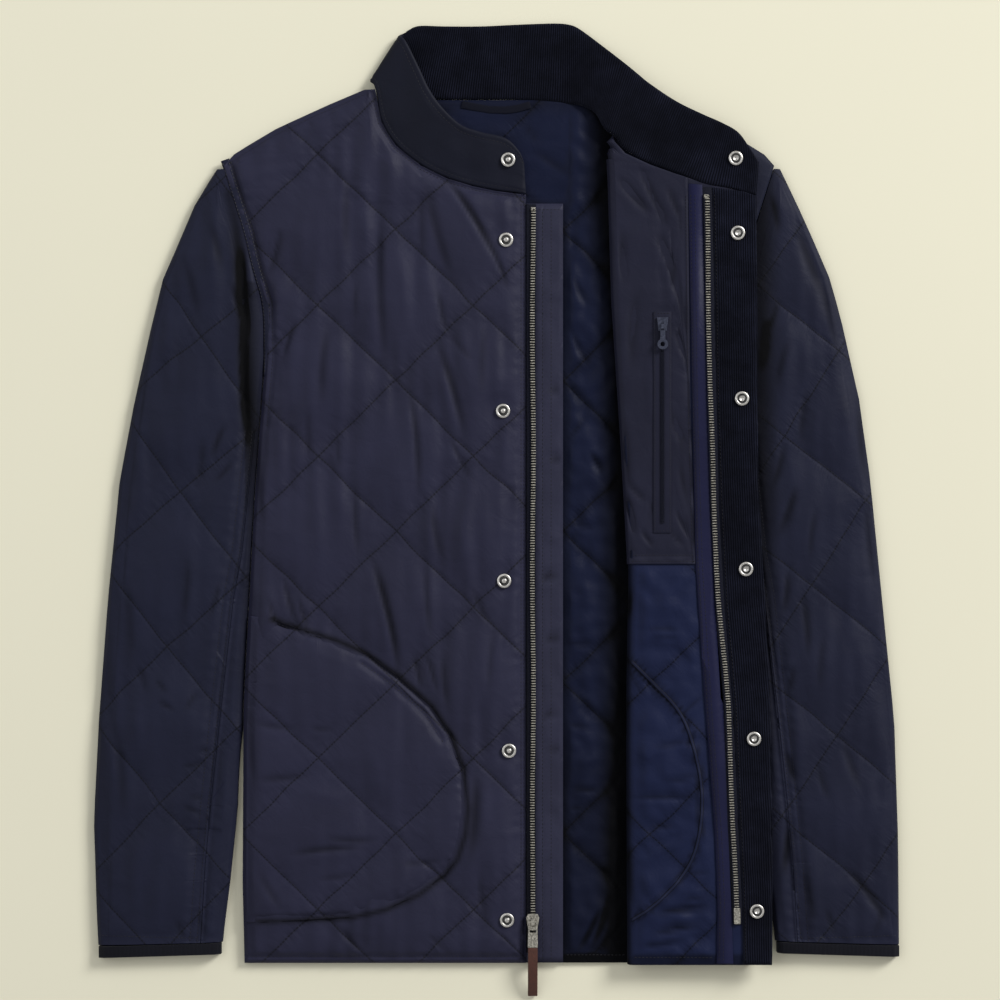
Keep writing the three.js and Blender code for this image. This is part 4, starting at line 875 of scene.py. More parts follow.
# The sleeves' shell is coloured darker and bluer than the body's same shell: painted shade.
shaded_sleeve_cloth = woven("shaded_sleeve_cloth", (0.0086, 0.0101, 0.0250), specular=0.12)
for side, sign in (("right", -1), ("left", 1)):
    for part, cuts in (("upper", 7), ("under", 5)):
        make_sleeve(side, sign, part, 11.0 + sign, cuts)

# Bound cuffs: a near-black knitted binding, folded over the raw end of each sleeve and stitched
# through, so that it stands a little proud of the cloth.
BINDING = (0.0036, 0.0039, 0.0072)
binding_cloth, shader, place = finish("binding_cloth", 0.85, sheen=0.07, specular=0.12)
rib = (split(place)[0] * (2 * math.pi / (1.1 * MM))).math("SINE")
fuzz = noise_of(place, 1500.0, 3.0)
feed(shader, "Base Color", colour_mix(rib * 0.3 + fuzz, shade(BINDING, 0.6), shade(BINDING, 1.7)))
bumped(shader, rib * 0.6 + fuzz, 0.0002)


def round_off(bm, angle, width, segments):
    """Bevels the edges that turn by more than an angle in radians."""
    sharp = [edge for edge in bm.edges if len(edge.link_faces) == 2 and edge.calc_face_angle() > angle]
    bmesh.ops.bevel(bm, geom=sharp, offset=width, segments=segments, profile=0.6, affect="EDGES",
                    clamp_overlap=True)


def soft_copy(name, node, materials, cuts=2, rounding=0.0):
    """A small sewn-on piece: its solid split finely with rounded corners."""
    bm = welded(node)
    bmesh.ops.dissolve_limit(bm, angle_limit=math.radians(2), verts=bm.verts, edges=bm.edges)
    if rounding:
        round_off(bm, 0.6, rounding, 2)
    bmesh.ops.triangulate(bm, faces=bm.faces)
    bmesh.ops.subdivide_edges(bm, edges=bm.edges, cuts=cuts, use_grid_fill=True)
    return panel(name, node, bm, materials)


for side in ("right", "left"):
    soft_copy(
        f"{side}_cuff_binding", f"cuff_binding_{side}", [binding_cloth], rounding=0.8 * MM)

# Bound seam of the left front's hip pocket, seen on the lining side: a narrow folded strip of lining
# cloth, stitched down along the pocket's round edge.
BAND_STEP = 2.4         # mm between two rows of a band's mesh


def grid_mesh(top, base):
    """Closed bmesh between two grids of points that share rows and columns."""
    bm = bmesh.new()
    upper = [[bm.verts.new(point) for point in row] for row in top]
    lower = [[bm.verts.new(point) for point in row] for row in base]
    for r in range(1, len(upper)):
        for c in range(1, len(upper[r])):
            shown = bm.faces.new((upper[r - 1][c - 1], upper[r - 1][c], upper[r][c], upper[r][c - 1]))
            shown.material_index = 1
            bm.faces.new((lower[r][c - 1], lower[r][c], lower[r - 1][c], lower[r - 1][c - 1]))
    for r in range(1, len(upper)):
        bm.faces.new((upper[r - 1][0], upper[r][0], lower[r][0], lower[r - 1][0]))
        bm.faces.new((lower[r - 1][-1], lower[r][-1], upper[r][-1], upper[r - 1][-1]))
    for c in range(1, len(upper[0])):
        bm.faces.new((upper[0][c], upper[0][c - 1], lower[0][c - 1], lower[0][c]))
        bm.faces.new((upper[-1][c - 1], upper[-1][c], lower[-1][c], lower[-1][c - 1]))
    bmesh.ops.recalc_face_normals(bm, faces=bm.faces)
    return bm


def band(name, node, row, half_width, rise, under, materials, taper=0.0):
    """A narrow strip of cloth along a row in mm, stitched down over the pieces under it.

    It widens from a quarter over a taper in mm."""
    spine = [(spot.x / MM, spot.y / MM) for spot, _ in walked(row, BAND_STEP * MM)]
    near_edge, far_edge = (aside(spine, side * half_width) for side in (-1, 1))
    for k in range(int(taper / BAND_STEP)):
        part = 0.25 + 0.75 * ease(k * BAND_STEP, 0, taper)
        near_edge[k] = tuple(far + (near - far) * part for near, far in zip(near_edge[k], far_edge[k]))
    trees = [surface(piece) for piece in under]

    def height_at(x, y):
        hits = [drop(tree, x * MM, y * MM) for tree in trees]
        return max((hit.z for hit in hits if hit), default=6 * MM)

    heights = [[height_at(*spot) for spot in edge] for edge in (near_edge, far_edge)]
    top, base = [], []
    for k, pair in enumerate(zip(near_edge, far_edge)):
        near = range(max(k - 1, 0), min(k + 2, len(spine)))
        low, high = (sum(side[n] for n in near) / len(near) for side in heights)
        top_row, base_row = [], []
        for step in range(9):
            u = step / 4 - 1
            x, y = (start + (end - start) * (u + 1) / 2 for start, end in zip(*pair))
            uneven = 0.2 * MM * noise.noise(Vector((x * 0.3, y * 0.3, 6)))
            lift = rise * (1 - 1.4 * abs(u) ** 5) * MM + uneven
            z = low + (high - low) * (u + 1) / 2
            top_row.append(Vector((x * MM, y * MM, z + lift)))
            base_row.append(Vector((x * MM, y * MM, z - 1.6 * MM)))
        top.append(top_row)
        base.append(base_row)
    # Painted shade along both edges of the strip, where it meets the cloth under it.
    return panel(
        name, node, grid_mesh(top, base), materials,
        painted_shade=lambda point: 0.85 * ease(off_row(point, row), half_width - 1.2, half_width - 0.3))


seam_cloth = woven("seam_binding_cloth", shade(LINING_BLUE, 1.15), roughness=0.5, quilted=False)
band("pocket_seam_binding", "pocket_seam_left", LEFT_POCKET_SEAM, 1.6, 0.9, [left_front],
     [seam_cloth, seam_cloth])

# Hanger loop: a narrow strip of dark cloth folded double, sewn on by its two ends at the back of
# the neck.
hanger_cloth = woven("hanger_cloth", (0.0028, 0.0034, 0.0085), quilted=False, specular=0.08)
soft_copy("hanger", "hanger_loop", [hanger_cloth], rounding=0.3 * MM)

# Facing strip between the chest panel and the zip: plain blue lining cloth, folded and stitched
# down with two rows.
facing_cloth = woven("facing_cloth", (0.0070, 0.0080, 0.0330), roughness=0.5, quilted=False)
facing = soft_copy("facing", "facing_strip", [facing_cloth], cuts=1)
STRIP_EDGE = [
    (180, -372), (181, -323), (178.5, -265), (171, -173.5), (162.7, -45), (158.5, 92), (156.6, 262),
]
sew("facing_stitches", facing, [aside(STRIP_EDGE, -5.5), aside(STRIP_EDGE, -2)], navy_thread)

# Wind flap behind the right half of the zip: a doubled strip of shell cloth with two stitch lines,
# a little buckled where it has been folded.
FLAP_CREASES = [
    (36, 104, 50, 101, 2.4, -0.9), (37, 47, 51, 43, 2.2, -0.9), (35, -53, 50, -57, 2.4, -1.0),
    (37, -104, 51, -107, 2.0, -0.8), (36, -168, 51, -172, 2.2, -0.9), (35, -201, 50, -198, 2.4, -1.0),
    (38, -290, 51, -294, 2.2, -0.7), (37, 180, 50, 184, 2.4, 0.7), (38, -20, 50, -17, 2.4, 0.6),
    (37, -240, 51, -244, 2.6, 0.6),
]
FLAP_ROWS = [
    [(36.2, -373), (36.2, 249)], [(43.4, -373), (43.4, 249)], [(33, 250.5), (52, 250.5)],
]
bm = welded("wind_flap")
across_flap = [edge for edge in bm.edges if abs(edge.verts[0].co.y - edge.verts[1].co.y) < 1e-5]
bmesh.ops.subdivide_edges(bm, edges=across_flap, cuts=11, use_grid_fill=True)
bmesh.ops.triangulate(bm, faces=[face for face in bm.faces if len(face.verts) > 4])
inner, rim = refined(bm, faces_up, 9, smooth=0)
for vert in inner:
    away = rim.find(vert.co)[2]
    channel = -0.4 * MM * math.exp(-((vert.co.x - 0.0362) / (1.2 * MM)) ** 2)
    buckled = 2.2 * creased(vert.co, FLAP_CREASES) + drift(vert.co, 0.012, 0.8, 31.0) + 0.5 * MM
    vert.co.z += ease(away, 0, 4 * MM) * (buckled * ease(vert.co.x, 0.031, 0.036) + channel)
flap_cloth = woven("flap_cloth", (0.0185, 0.0193, 0.0400), quilted=False)
# Painted shade in the flap's troughs.
wind_flap = panel(
    "wind_flap_cloth", "wind_flap", bm, [flap_cloth, flap_cloth],
    painted_shade=lambda point: painted_trough_shade(point, FLAP_CREASES))
sew("wind_flap_stitches", wind_flap, FLAP_ROWS, navy_thread)

# Corduroy placket down the left front: near-black navy cotton with about five raised wales to a
# centimetre, folded round the front edge and stitched beside the zip.
CORDUROY = (0.0034, 0.0039, 0.0080)
WALE = 1.9 * MM
corduroy_cloth, shader, place = finish("corduroy_cloth", 0.95, sheen=0.06, specular=0.05)
shader.inputs["Sheen Tint"].default_value = (0.45, 0.5, 0.8, 1)
pile = noise_of(place, 1300.0, 4.0, 0.7)
worn = noise_of(place, 28.0, 6.0, 0.7)
across = place.node("ShaderNodeAttribute", output=2, attribute_name="across_wales")
wavy = across + (noise_of(place, 30.0, 3.0) - 0.5) * (1.6 * MM)
ridge = (wavy * (math.pi / WALE)).math("SINE").math("ABSOLUTE") ** 0.8
tone = ridge * (worn * 1.7 - 0.2) + (pile - 0.5) * 0.45
feed(shader, "Base Color", tone.node("ShaderNodeValToRGB", {0: tone}, stops=[
    (0.05, shade(CORDUROY, 0.35)), (0.5, CORDUROY), (0.95, shade(CORDUROY, 2.7))]))
bumped(shader, pile * 0.5 + ridge * 1.2, 0.0006)


def span_at(node, y):
    """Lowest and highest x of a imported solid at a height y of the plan."""
    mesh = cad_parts[node].data
    low, high = 9.0, -9.0
    for edge in mesh.edges:
        a, b = (mesh.vertices[k].co for k in edge.vertices)
        if (a.y - y) * (b.y - y) <= 0 and a.y != b.y:
            x = a.x + (b.x - a.x) * (y - a.y) / (b.y - a.y)
            low, high = min(low, x), max(high, x)
    return low, high


def strip_grid(node, column, row):
    """Rows and columns of places over a packed strip, from its ends and its edges."""
    low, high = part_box(node)
    count = int((high.y - low.y) / row)
    rows = []
    for k in range(count + 1):
        y = low.y + 0.2 * MM + (high.y - low.y - 0.4 * MM) * k / count
        left, right = span_at(node, y)
        steps = int((high.x - low.x) / column)
        rows.append([Vector((left + (right - left) * c / steps, y, 0)) for c in range(steps + 1)])
    return rows


PLACKET_CREASES = [
    (183, 243, 216, 240, 2.2, -0.9), (186, 190, 214, 194, 2.6, -0.8), (184, 121, 216, 115, 2.4, -1.0),
    (196, 60, 220, 57, 2.2, -0.8), (192, 19, 222, 25, 2.4, -1.0), (196, -60, 226, -57, 2.6, -0.8),
    (200, -139, 230, -147, 2.4, -1.0), (205, -200, 232, -196, 2.2, -0.8), (206, -259, 236, -267, 2.6, -1.0),
    (186, 150, 200, 158, 1.8, -0.7), (203, -105, 226, -100, 1.8, -0.7), (210, -320, 240, -326, 2.2, -0.8),
]
bm = welded("placket_corduroy")
placket_tree = BVHTree.FromBMesh(bm)
bm.free()
places = strip_grid("placket_corduroy", 1.6 * MM, 3.5 * MM)
top, base = [], []
for row in places:
    y = row[0].y
    upper, lower = [], []
    for point in row:
        hit = drop(placket_tree, point.x, y)
        under = placket_tree.ray_cast(Vector((point.x, y, -0.01)), Vector((0, 0, 1)))[0]
        z = hit.z if hit else 18.2 * MM
        floor = under.z if under else z - 1.7 * MM
        edge = min(point.x - row[0].x, row[-1].x - point.x)
        rounding = 0.9 * MM * (1 - ease(edge, 0, 2.5 * MM))
        ripple = drift(point, 0.03, 0.9, 21.0) + drift(point, 0.011, 0.5, 22.0)
        ripple = (ripple + creased(point, PLACKET_CREASES)) * clear_of_snaps(point)
        upper.append(Vector((point.x, y, z - rounding + ripple)))
        lower.append(Vector((point.x, y, min(floor, z - rounding - 0.5 * MM))))
    top.append(upper)
    base.append(lower)


def lay_wales(bm, rows):
    """Gives the shown vertices of a grid their distance across the wales, row by row."""
    layer = bm.verts.layers.float.new("across_wales")
    bm.verts.ensure_lookup_table()
    for k, distance in enumerate(distance for row in rows for distance in row):
        bm.verts[k][layer] = distance


bm = grid_mesh(top, base)
lay_wales(bm, [[point.x - row[0].x for point in row] for row in places])
placket = panel(
    "placket", "placket_corduroy", bm, [corduroy_cloth, corduroy_cloth])
ZIP_LINE = [
    (197.5, -372), (196.7, -323), (193, -240), (189.2, -157), (181.8, -74), (177.6, 9), (175, 92),
    (173.6, 175), (171.8, 260),
]
sew("placket_stitches", placket, [aside(ZIP_LINE, -6.6)], navy_thread)

# Stand collar: shell outside, corduroy inside. It turns over at the wearer's right, lies flat along
# the back neck and opens out over the folded front.
COLLAR = [
    # seam x, y, z and top edge x, y, z in mm
    ((22.4, 263.6, 7.6), (20.8, 288.8, 8.4)), ((11, 264.9, 8), (16.5, 299, 9.2)),
    ((-1.2, 266.2, 8.2), (5, 309.6, 10.2)), ((-22.2, 270.4, 8.4), (-15.8, 314.6, 11.6)),
    ((-43.3, 277, 8.6), (-32, 320.5, 12.6)), ((-64.2, 287.2, 8.8), (-47, 334.5, 13)),
    ((-85.4, 304.2, 9), (-58, 350, 13)), ((-97, 323.2, 9), (-66, 367, 12.4)),
    ((-100.8, 343, 8.8), (-75.5, 386.5, 10.8)), ((-103.6, 353.6, 8), (-79.3, 392.5, 9.2)),
    ((-106.5, 356.5, 5.2), (-81.5, 395.2, 5.6)), ((-104.2, 355.8, 2.4), (-79.4, 397, 2.3)),
    ((-98.5, 352.5, 1.8), (-75, 400.5, 1.8)), ((-82, 345.2, 1.8), (-66, 403.8, 1.8)),
    ((-57.3, 342.8, 1.8), (-45, 403.4, 1.8)), ((-22, 342.5, 1.8), (-15, 403.4, 1.8)),
    ((11.6, 342.5, 1.8), (15, 404.8, 1.8)), ((41.5, 341.0, 1.8), (45, 405.8, 1.8)),
    ((58, 338.6, 2.2), (58, 404.8, 2)), ((68, 337.0, 5.6), (67, 401, 2.6)),
    ((80, 330, 9.6), (83.5, 388.4, 5.4)), ((87.2, 317, 14), (104.6, 371.3, 9.6)),
    ((96.2, 309.4, 14.7), (115, 362.5, 11)), ((105.4, 298.2, 14.7), (125.8, 353.6, 12)),
    ((126, 287.3, 14.7), (146.9, 339.5, 12.8)), ((147.1, 279.8, 14.7), (168.2, 329, 13.2)),
    ((168.4, 271.2, 14.9), (184, 322, 13.4)), ((189.4, 267.4, 15.2), (197.5, 314.2, 13.6)),
    ((203.2, 263.8, 15.4), (206.5, 302.5, 13.8)), ((213, 261.4, 15.4), (215, 288.8, 14)),
]
COLLAR_STEPS = 9        # rows of the mesh between two rows above
COLLAR_PARTS = 26       # parts from the seam to the top edge
COLLAR_HEIGHT = 60 * MM


def spline(points, k, t):
    """Catmull-Rom through the rows, held at both ends."""
    p = [points[min(max(k + d, 0), len(points) - 1)] for d in (-1, 0, 1, 2)]
    return 0.5 * (2 * p[1] + (p[2] - p[0]) * t + (2 * p[0] - 5 * p[1] + 4 * p[2] - p[3]) * t * t
                  + (3 * p[1] - p[0] - 3 * p[2] + p[3]) * t ** 3)


seams = [Vector(seam) * MM for seam, _ in COLLAR]
edges = [Vector(edge) * MM for _, edge in COLLAR]
collar_rows = []
for k in range(len(COLLAR) - 1):
    for step in range(COLLAR_STEPS):
        t = step / COLLAR_STEPS
        collar_rows.append((spline(seams, k, t), spline(edges, k, t)))
collar_rows.append((seams[-1], edges[-1]))
middle = []
for low, high in collar_rows:
    middle.append([low.lerp(high, c / COLLAR_PARTS) for c in range(COLLAR_PARTS + 1)])
run = [0.0]
for before, after in zip(middle, middle[1:]):
    run.append(run[-1] + (after[COLLAR_PARTS // 2] - before[COLLAR_PARTS // 2]).length)


def collar_side(distance, relief, rounding):
    """One face of the collar, at a distance from its middle, with rounded edges."""
    side = []
    last = len(middle) - 1
    for r, row in enumerate(middle):
        points = []
        for c, point in enumerate(row):
            along = middle[min(r + 1, last)][c] - middle[max(r - 1, 0)][c]
            normal = (row[-1] - row[0]).cross(along).normalized()
            edge = min(c, COLLAR_PARTS - c) / COLLAR_PARTS * COLLAR_HEIGHT
            end = min(run[r], run[-1] - run[r])
            lowered = (1 - ease(min(edge, end), 0, 2.6 * MM)) * rounding
            sign = 1 if distance > 0 else -1
            moved = point + normal * (distance + sign * (relief(r, c) - lowered))
            moved.z = max(moved.z, 0.0)
            points.append(moved)
        side.append(points)
    return side


def plain_collar(r, c):
    part = c / COLLAR_PARTS
    soft = noise.noise(Vector((run[r] * 24, part * 2.2, 5.0))) * 1.2
    soft += noise.noise(Vector((run[r] * 70, part, 6.0))) * 0.6
    stitch = -0.5 * sum(math.exp(-((part - row) / 0.02) ** 2) for row in (0.9, 0.08))
    return (soft * ease(part, 0, 0.2) * ease(1 - part, 0, 0.2) + stitch) * MM


def corded_collar(r, c):
    soft = noise.noise(Vector((run[r] * 38, c / COLLAR_PARTS * 1.6, 8.0)))
    return 0.9 * MM * soft * ease(min(c, COLLAR_PARTS - c) / COLLAR_PARTS, 0, 0.2)


def no_relief(r, c):
    return 0.0


# The collar's shell outside is coloured much darker than the body's shell: painted shade where it turns
# away from the light.
shaded_collar_cloth = woven("shaded_collar_cloth", (0.0050, 0.0060, 0.0135), quilted=False, specular=0.10)
for name, node, far, near, relief, cloth, slot in (
    ("collar_shell", "collar_outer", 1.8 * MM, 0.15 * MM, plain_collar, shaded_collar_cloth, "shell"),
    ("collar_lining", "collar_corduroy", -2.0 * MM, -0.15 * MM, corded_collar, corduroy_cloth, "corduroy"),
):
    bm = grid_mesh(collar_side(far, relief, 0.8 * MM), collar_side(near, no_relief, 0.0))
    lay_wales(bm, [[run[r]] * (COLLAR_PARTS + 1) for r in range(len(middle))])
    collar = panel(name, node, bm, [cloth, cloth])
    if node == "collar_outer":
        rows = [[(row[c].x / MM, row[c].y / MM) for row in middle[3:90]] for c in (2, COLLAR_PARTS - 3)]
        sew("collar_stitches", collar, rows, navy_thread)

# Armhole seam of the right sleeve: the allowance folded under and stitched down flat over the join
# with two rows, a band a little higher than the cloth beside it.
BAND_ROW = aside(rounded([(-194.6, 112)] + ARMHOLE[1:] + [(-230.4, 292)]), -2.3)
armhole_seam = band(
    "armhole_seam", None, BAND_ROW, 3.6, 0.45, [right_front, bpy.data.objects["right_upper_sleeve"]],
    [shaded_sleeve_cloth, shaded_sleeve_cloth], taper=60.0)
sew("armhole_stitches", armhole_seam, [aside(BAND_ROW, 2.5), aside(BAND_ROW, -2.5)[8:]],
    navy_thread, width=0.8)

# Zip of the front: a woven tape sewn to each half, cast metal teeth, a box and a pin at the foot, and
# the slider with its pull on the right half.
TOOTH = {"pitch": 2.2 * MM, "half_width": 2.3 * MM, "length": 1.1 * MM}
CORD_PARTS = 90         # straight parts of the cord that the teeth are cast on
tape_cloth, shader, place = finish("zip_tape_cloth", 0.8, sheen=0.02, specular=0.08)
x, y, _ = split(place)
twill = ((x + y) * (2 * math.pi / (0.9 * MM))).math("SINE")
feed(shader, "Base Color", colour_mix(twill * 0.5 + 0.5, (0.003, 0.004, 0.009), (0.011, 0.012, 0.024)))
bumped(shader, twill, 0.00015)
for side in ("right", "left"):
    soft_copy(f"{side}_zip_tape", f"zip_tape_{side}", [tape_cloth], cuts=1)


def metal(name, colour, roughness, tarnish):
    """Cast metal with tarnished patches and fine scratches."""
    material, shader, place = finish(name, roughness, metallic=1.0)
    patina = noise_of(place, 800.0, 4.0, 0.6)
    scratch = noise_of(place, 2600.0, 2.0)
    feed(shader, "Base Color", colour_mix(patina * 2.0 - 0.5, tarnish, colour))
    feed(shader, "Roughness", patina * 0.35 + (roughness - 0.12))
    bumped(shader, scratch + patina, 0.00004)
    return material


antique = metal("antique_nickel", (0.76, 0.74, 0.66), 0.34, (0.08, 0.075, 0.065))
bright = metal("bright_nickel", (0.72, 0.71, 0.69), 0.34, (0.40, 0.39, 0.37))
dark_nickel = metal("dark_nickel", (0.10, 0.10, 0.10), 0.45, (0.03, 0.03, 0.03))


def centre_line(node):
    """Middle of a packed rail at each of its rows, as (y, x) from its foot up."""
    rows = {}
    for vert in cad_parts[node].data.vertices:
        rows.setdefault(round(vert.co.y, 4), []).append(vert.co.x)
    return sorted((y, (min(xs) + max(xs)) / 2) for y, xs in rows.items())


def read_line(line, y):
    for (y0, x0), (y1, x1) in zip(line, line[1:]):
        if y <= y1:
            return x0 + (x1 - x0) * (y - y0) / (y1 - y0)
    return line[-1][1]


def chamfered_block(bm, centre, half, turn=0.0, taper=0.75):
    """A small cast block with a narrower top, at a centre and turned in plan. Half is half its size."""
    corners = []
    for z, scale in ((-1, 1.0), (0.35, 1.0), (1, taper)):
        for sx, sy in ((-1, -1), (1, -1), (1, 1), (-1, 1)):
            x = sx * half.x * scale
            y = sy * half.y * scale
            corners.append(bm.verts.new((
                centre.x + x * math.cos(turn) - y * math.sin(turn),
                centre.y + x * math.sin(turn) + y * math.cos(turn), centre.z + z * half.z)))
    bm.faces.new(corners[3::-1])
    bm.faces.new(corners[8:])
    for layer in (0, 4):
        for k in range(4):
            a, b = layer + k, layer + (k + 1) % 4
            bm.faces.new((corners[a], corners[b], corners[b + 4], corners[a + 4]))


def teeth(name, node, inwards):
    """One half of the zip: its teeth, the stop at the top and the cord at the tape's edge.

    The tape waves a little as it lies, and inwards is the side that the teeth point to."""
    line = centre_line(node)
    low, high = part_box(node)
    bm = bmesh.new()
    count = int((high.y - low.y) / TOOTH["pitch"])
    for k in range(count):
        y = low.y + (k + 0.5) * TOOTH["pitch"]
        x = read_line(line, y) + 0.5 * MM * math.sin(y * 31) * ease(y, -0.33, -0.25)
        x += inwards * 0.5 * MM
        z = (low.z + high.z) / 2
        slope = math.atan2(read_line(line, y + 0.01) - read_line(line, y - 0.01), 0.02)
        half = Vector((TOOTH["half_width"] * 0.72, TOOTH["length"] / 2, (high.z - low.z) / 2))
        chamfered_block(bm, Vector((x, y, z)), half, -slope)
        knob = Vector((x - inwards * 1.6 * MM, y, z + 0.1 * MM))
        chamfered_block(bm, knob, Vector((0.8 * MM, 0.5 * MM, half.z * 0.9)), -slope, 0.6)
    stop = Vector((read_line(line, high.y) + inwards * 0.4 * MM, high.y - 1.6 * MM, (low.z + high.z) / 2))
    chamfered_block(bm, stop, Vector((1.9 * MM, 1.5 * MM, (high.z - low.z) / 2)))
    cast = len(bm.faces)
    for k in range(CORD_PARTS):
        y0 = low.y + (high.y - low.y) * k / CORD_PARTS
        y1 = low.y + (high.y - low.y) * (k + 1) / CORD_PARTS
        x = read_line(line, (y0 + y1) / 2) + inwards * 2.2 * MM
        part = Vector((x, (y0 + y1) / 2, low.z + 0.5 * MM))
        chamfered_block(bm, part, Vector((0.55 * MM, (y1 - y0) / 2, 0.5 * MM)), 0, 0.7)
    bm.faces.ensure_lookup_table()
    for face in bm.faces[cast:]:
        face.material_index = 1
    bmesh.ops.recalc_face_normals(bm, faces=bm.faces)
    put_in_place(name, bm, [antique, tape_cloth], node, smooth=False)


teeth("right_zip_teeth", "zip_teeth_right", 1)
teeth("left_zip_teeth", "zip_teeth_left", -1)


def keep_solid(node, material, bevel):
    """A small hard piece keeps its solid, with softened edges and its own finish."""
    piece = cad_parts[node]
    piece.data.materials.clear()
    piece.data.materials.append(material)
    weld = piece.modifiers.new("weld", "WELD")
    weld.merge_threshold = 2e-6
    soften = piece.modifiers.new("soften", "BEVEL")
    soften.width = bevel
    soften.segments = 2
    soften.limit_method = "ANGLE"


for node, bevel in (("slider_main", 0.35), ("zip_box", 0.4), ("zip_pin", 0.5), ("pull_main", 0.35)):
    keep_solid(node, antique, bevel * MM)

# Slider of the chest pocket's zip, in dark grey metal: its pull is a short tab that ends in a ring,
# hinged on the slider's top.
gunmetal = metal("gunmetal", (0.095, 0.105, 0.155), 0.38, (0.03, 0.035, 0.055))
keep_solid("chest_slider", gunmetal, 0.3 * MM)
PULL_RING = {"outer": 4.4 * MM, "inner": 2.0 * MM, "steps": 32}


def circle(bm, x, y, radius, z, steps):
    """Vertices of a circle round a place, at a height."""
    turns = [2 * math.pi * k / steps for k in range(steps)]
    return [bm.verts.new((x + radius * math.cos(turn), y + radius * math.sin(turn), z)) for turn in turns]


low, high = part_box("chest_pull")
bm = bmesh.new()
ring_x, ring_y = (low.x + high.x) / 2, low.y + PULL_RING["outer"]
loops = []
for edge, z in (("inner", low.z), ("outer", low.z), ("outer", high.z), ("inner", high.z)):
    loops.append(circle(bm, ring_x, ring_y, PULL_RING[edge], z, PULL_RING["steps"]))
for a, b in zip(loops, loops[1:] + loops[:1]):
    for k in range(PULL_RING["steps"]):
        n = (k + 1) % PULL_RING["steps"]
        bm.faces.new((a[k], b[k], b[n], a[n]))
neck_low = ring_y + 0.5 * (PULL_RING["inner"] + PULL_RING["outer"])
neck = Vector((ring_x, (neck_low + high.y) / 2, (low.z + high.z) / 2))
chamfered_block(bm, neck, Vector((2.1 * MM, (high.y - neck_low) / 2, (high.z - low.z) / 2)), 0, 0.8)
bmesh.ops.recalc_face_normals(bm, faces=bm.faces)
put_in_place("chest_pull_ring", bm, [gunmetal], "chest_pull", "chest_zip_pull", smooth=False)

# Leather tag on the front slider's pull: a doubled brown strap with a rounded edge that hangs past
# the hem, and swings with the pull.
LEATHER = (0.050, 0.014, 0.008)
leather, shader, place = finish("brown_leather", 0.5, specular=0.45)
grain = place.node("ShaderNodeTexVoronoi", {"Vector": place, "Scale": 1400.0})
pores = noise_of(place, 500.0, 6.0, 0.65)
feed(shader, "Base Color", colour_mix(pores * 1.6 - 0.3, shade(LEATHER, 0.55), shade(LEATHER, 1.5)))
feed(shader, "Roughness", pores * 0.3 + 0.36)
bumped(shader, grain * 0.6 + pores, 0.00018)
bm = welded("pull_leather")
round_off(bm, 1.0, 0.6 * MM, 3)
bmesh.ops.triangulate(bm, faces=bm.faces)
bmesh.ops.subdivide_edges(bm, edges=bm.edges, cuts=2, use_grid_fill=True)
put_in_place("leather_tag", bm, [leather], "pull_leather", "zip_pull")

# Snaps: pressed nickel rings, a sprung stud on the right front and a socket on the placket. The
# profiles run out from the middle, as radius and height in mm.
RING = [(0, 0), (5.6, 0), (6.0, 0.4), (5.95, 1.0), (5.6, 1.4), (4.7, 1.5), (4.1, 1.35), (3.8, 0.7)]
STUD = [(3.2, 0.55), (2.1, 0.6), (1.9, 1.3), (2.05, 1.9), (1.7, 2.3), (0.9, 2.45), (0, 2.45)]
SOCKET = [(3.1, 0.55), (2.7, 0.9), (2.2, 1.1), (1.6, 0.9), (1.4, 0.5), (0, 0.45)]
WELL = (2.0, 3.95)  # radii between which the metal has gone dark
LATHE_STEPS = 40


def turned(name, node, profile):
    """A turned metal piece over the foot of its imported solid."""
    low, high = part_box(node)
    centre = (low + high) / 2
    bm = bmesh.new()
    rings = []
    for radius, height in profile:
        z = low.z + height * MM
        if radius == 0:
            rings.append([bm.verts.new((centre.x, centre.y, z))])
            continue
        rings.append(circle(bm, centre.x, centre.y, radius * MM, z, LATHE_STEPS))
    for inner_ring, outer_ring in zip(rings, rings[1:]):
        for k in range(LATHE_STEPS):
            n = (k + 1) % LATHE_STEPS
            corners = [inner_ring[k % len(inner_ring)], outer_ring[k % len(outer_ring)],
                       outer_ring[n % len(outer_ring)], inner_ring[n % len(inner_ring)]]
            face = bm.faces.new(list(dict.fromkeys(corners)))
            middle = face.calc_center_median() - Vector((centre.x, centre.y, 0))
            radius, height = math.hypot(middle.x, middle.y) / MM, (middle.z - low.z) / MM
            face.material_index = int(height > 0.1 and WELL[0] < radius < WELL[1])
    bmesh.ops.recalc_face_normals(bm, faces=bm.faces)
    put_in_place(name, bm, [bright, dark_nickel], node)


for node in sorted(snaps):
    turned(node.replace("snap_", "snap_ring_"), node, RING + (STUD if "stud" in node else SOCKET))

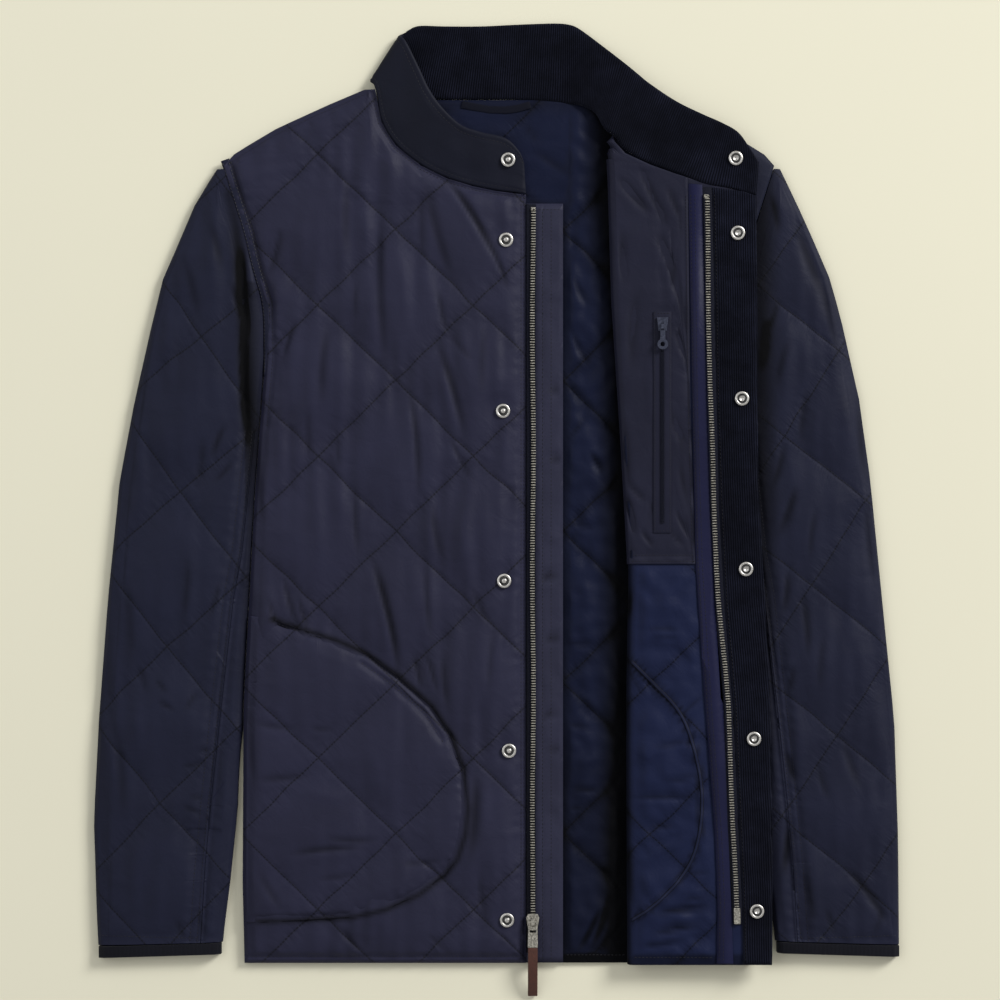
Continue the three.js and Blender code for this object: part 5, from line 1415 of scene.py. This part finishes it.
# Chest pocket zip: a narrow coil on its tape under two welts of the panel's own cloth, stitched
# round in a box.
CHEST_ZIP_BOX = [(128.9, -16.5), (128.9, 163.5), (141.5, 163.5), (141.5, -16.5), (128.9, -16.5)]
COIL_PITCH = 1.3 * MM
welts = soft_copy("chest_zip_welts", "chest_zip_tape", [chest_cloth], rounding=0.2 * MM)
sew("chest_zip_stitches", welts, [CHEST_ZIP_BOX], navy_thread, pitch=2.6, length=1.9)
low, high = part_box("chest_zip_teeth")
bm = bmesh.new()
for k in range(int((high.y - low.y) / COIL_PITCH)):
    centre = Vector(((low.x + high.x) / 2, low.y + (k + 0.5) * COIL_PITCH, (low.z + high.z) / 2))
    chamfered_block(bm, centre, Vector((1.5 * MM, 0.45 * MM, (high.z - low.z) / 2)), 0, 0.8)
bmesh.ops.recalc_face_normals(bm, faces=bm.faces)
put_in_place("chest_zip_coil", bm, [tape_cloth], "chest_zip_teeth", smooth=False)

# Floor, light and camera: a pale plain surface, lit softly from the upper right and seen from
# straight above.
PALE = (0.683, 0.666, 0.540)
floor_material, shader, place = finish("pale_floor", 0.9, specular=0.2)
speckle = noise_of(place, 3.0, 3.0)
feed(shader, "Base Color", colour_mix(speckle, shade(PALE, 0.985), shade(PALE, 1.015)))
bpy.ops.mesh.primitive_plane_add(size=12, location=(0, 0, -0.0002))
floor = bpy.context.object
floor.name = "floor"
floor.data.materials.append(floor_material)

world = bpy.data.worlds.new("studio")
bpy.context.scene.world = world
world.use_nodes = True
world.node_tree.nodes["Background"].inputs[0].default_value = (1.0, 0.985, 0.96, 1)
world.node_tree.nodes["Background"].inputs[1].default_value = 0.50


def lamp(name, place, power, size, colour):
    """A square soft lamp that looks at the middle of the floor."""
    light = bpy.data.lights.new(name, "AREA")
    light.energy = power
    light.size = size
    light.color = colour
    holder = bpy.data.objects.new(name, light)
    bpy.context.scene.collection.objects.link(holder)
    holder.location = place
    holder.rotation_euler = (Vector((0, 0, 0)) - Vector(place)).to_track_quat("-Z", "Y").to_euler()


lamp("key", (3.8, 3.0, 2.7), 322, 1.8, (1.0, 0.985, 0.96))
lamp("fill", (-1.8, 0.9, 2.2), 18, 2.0, (0.96, 0.98, 1.0))

FRAME_SPAN = 0.830      # metres from side to side of the frame
FRAME_CENTRE = (0.0008, 0.0091)
FOCAL = 100.0
SENSOR = 36.0
MID_HEIGHT = 0.010      # the height at which the span is measured
camera_data = bpy.data.cameras.new("camera")
camera_data.lens = FOCAL
camera_data.sensor_width = SENSOR
camera = bpy.data.objects.new("camera", camera_data)
bpy.context.scene.collection.objects.link(camera)
camera.location = (*FRAME_CENTRE, FRAME_SPAN * FOCAL / SENSOR + MID_HEIGHT)
bpy.context.scene.camera = camera
bpy.context.scene.view_settings.view_transform = "Standard"
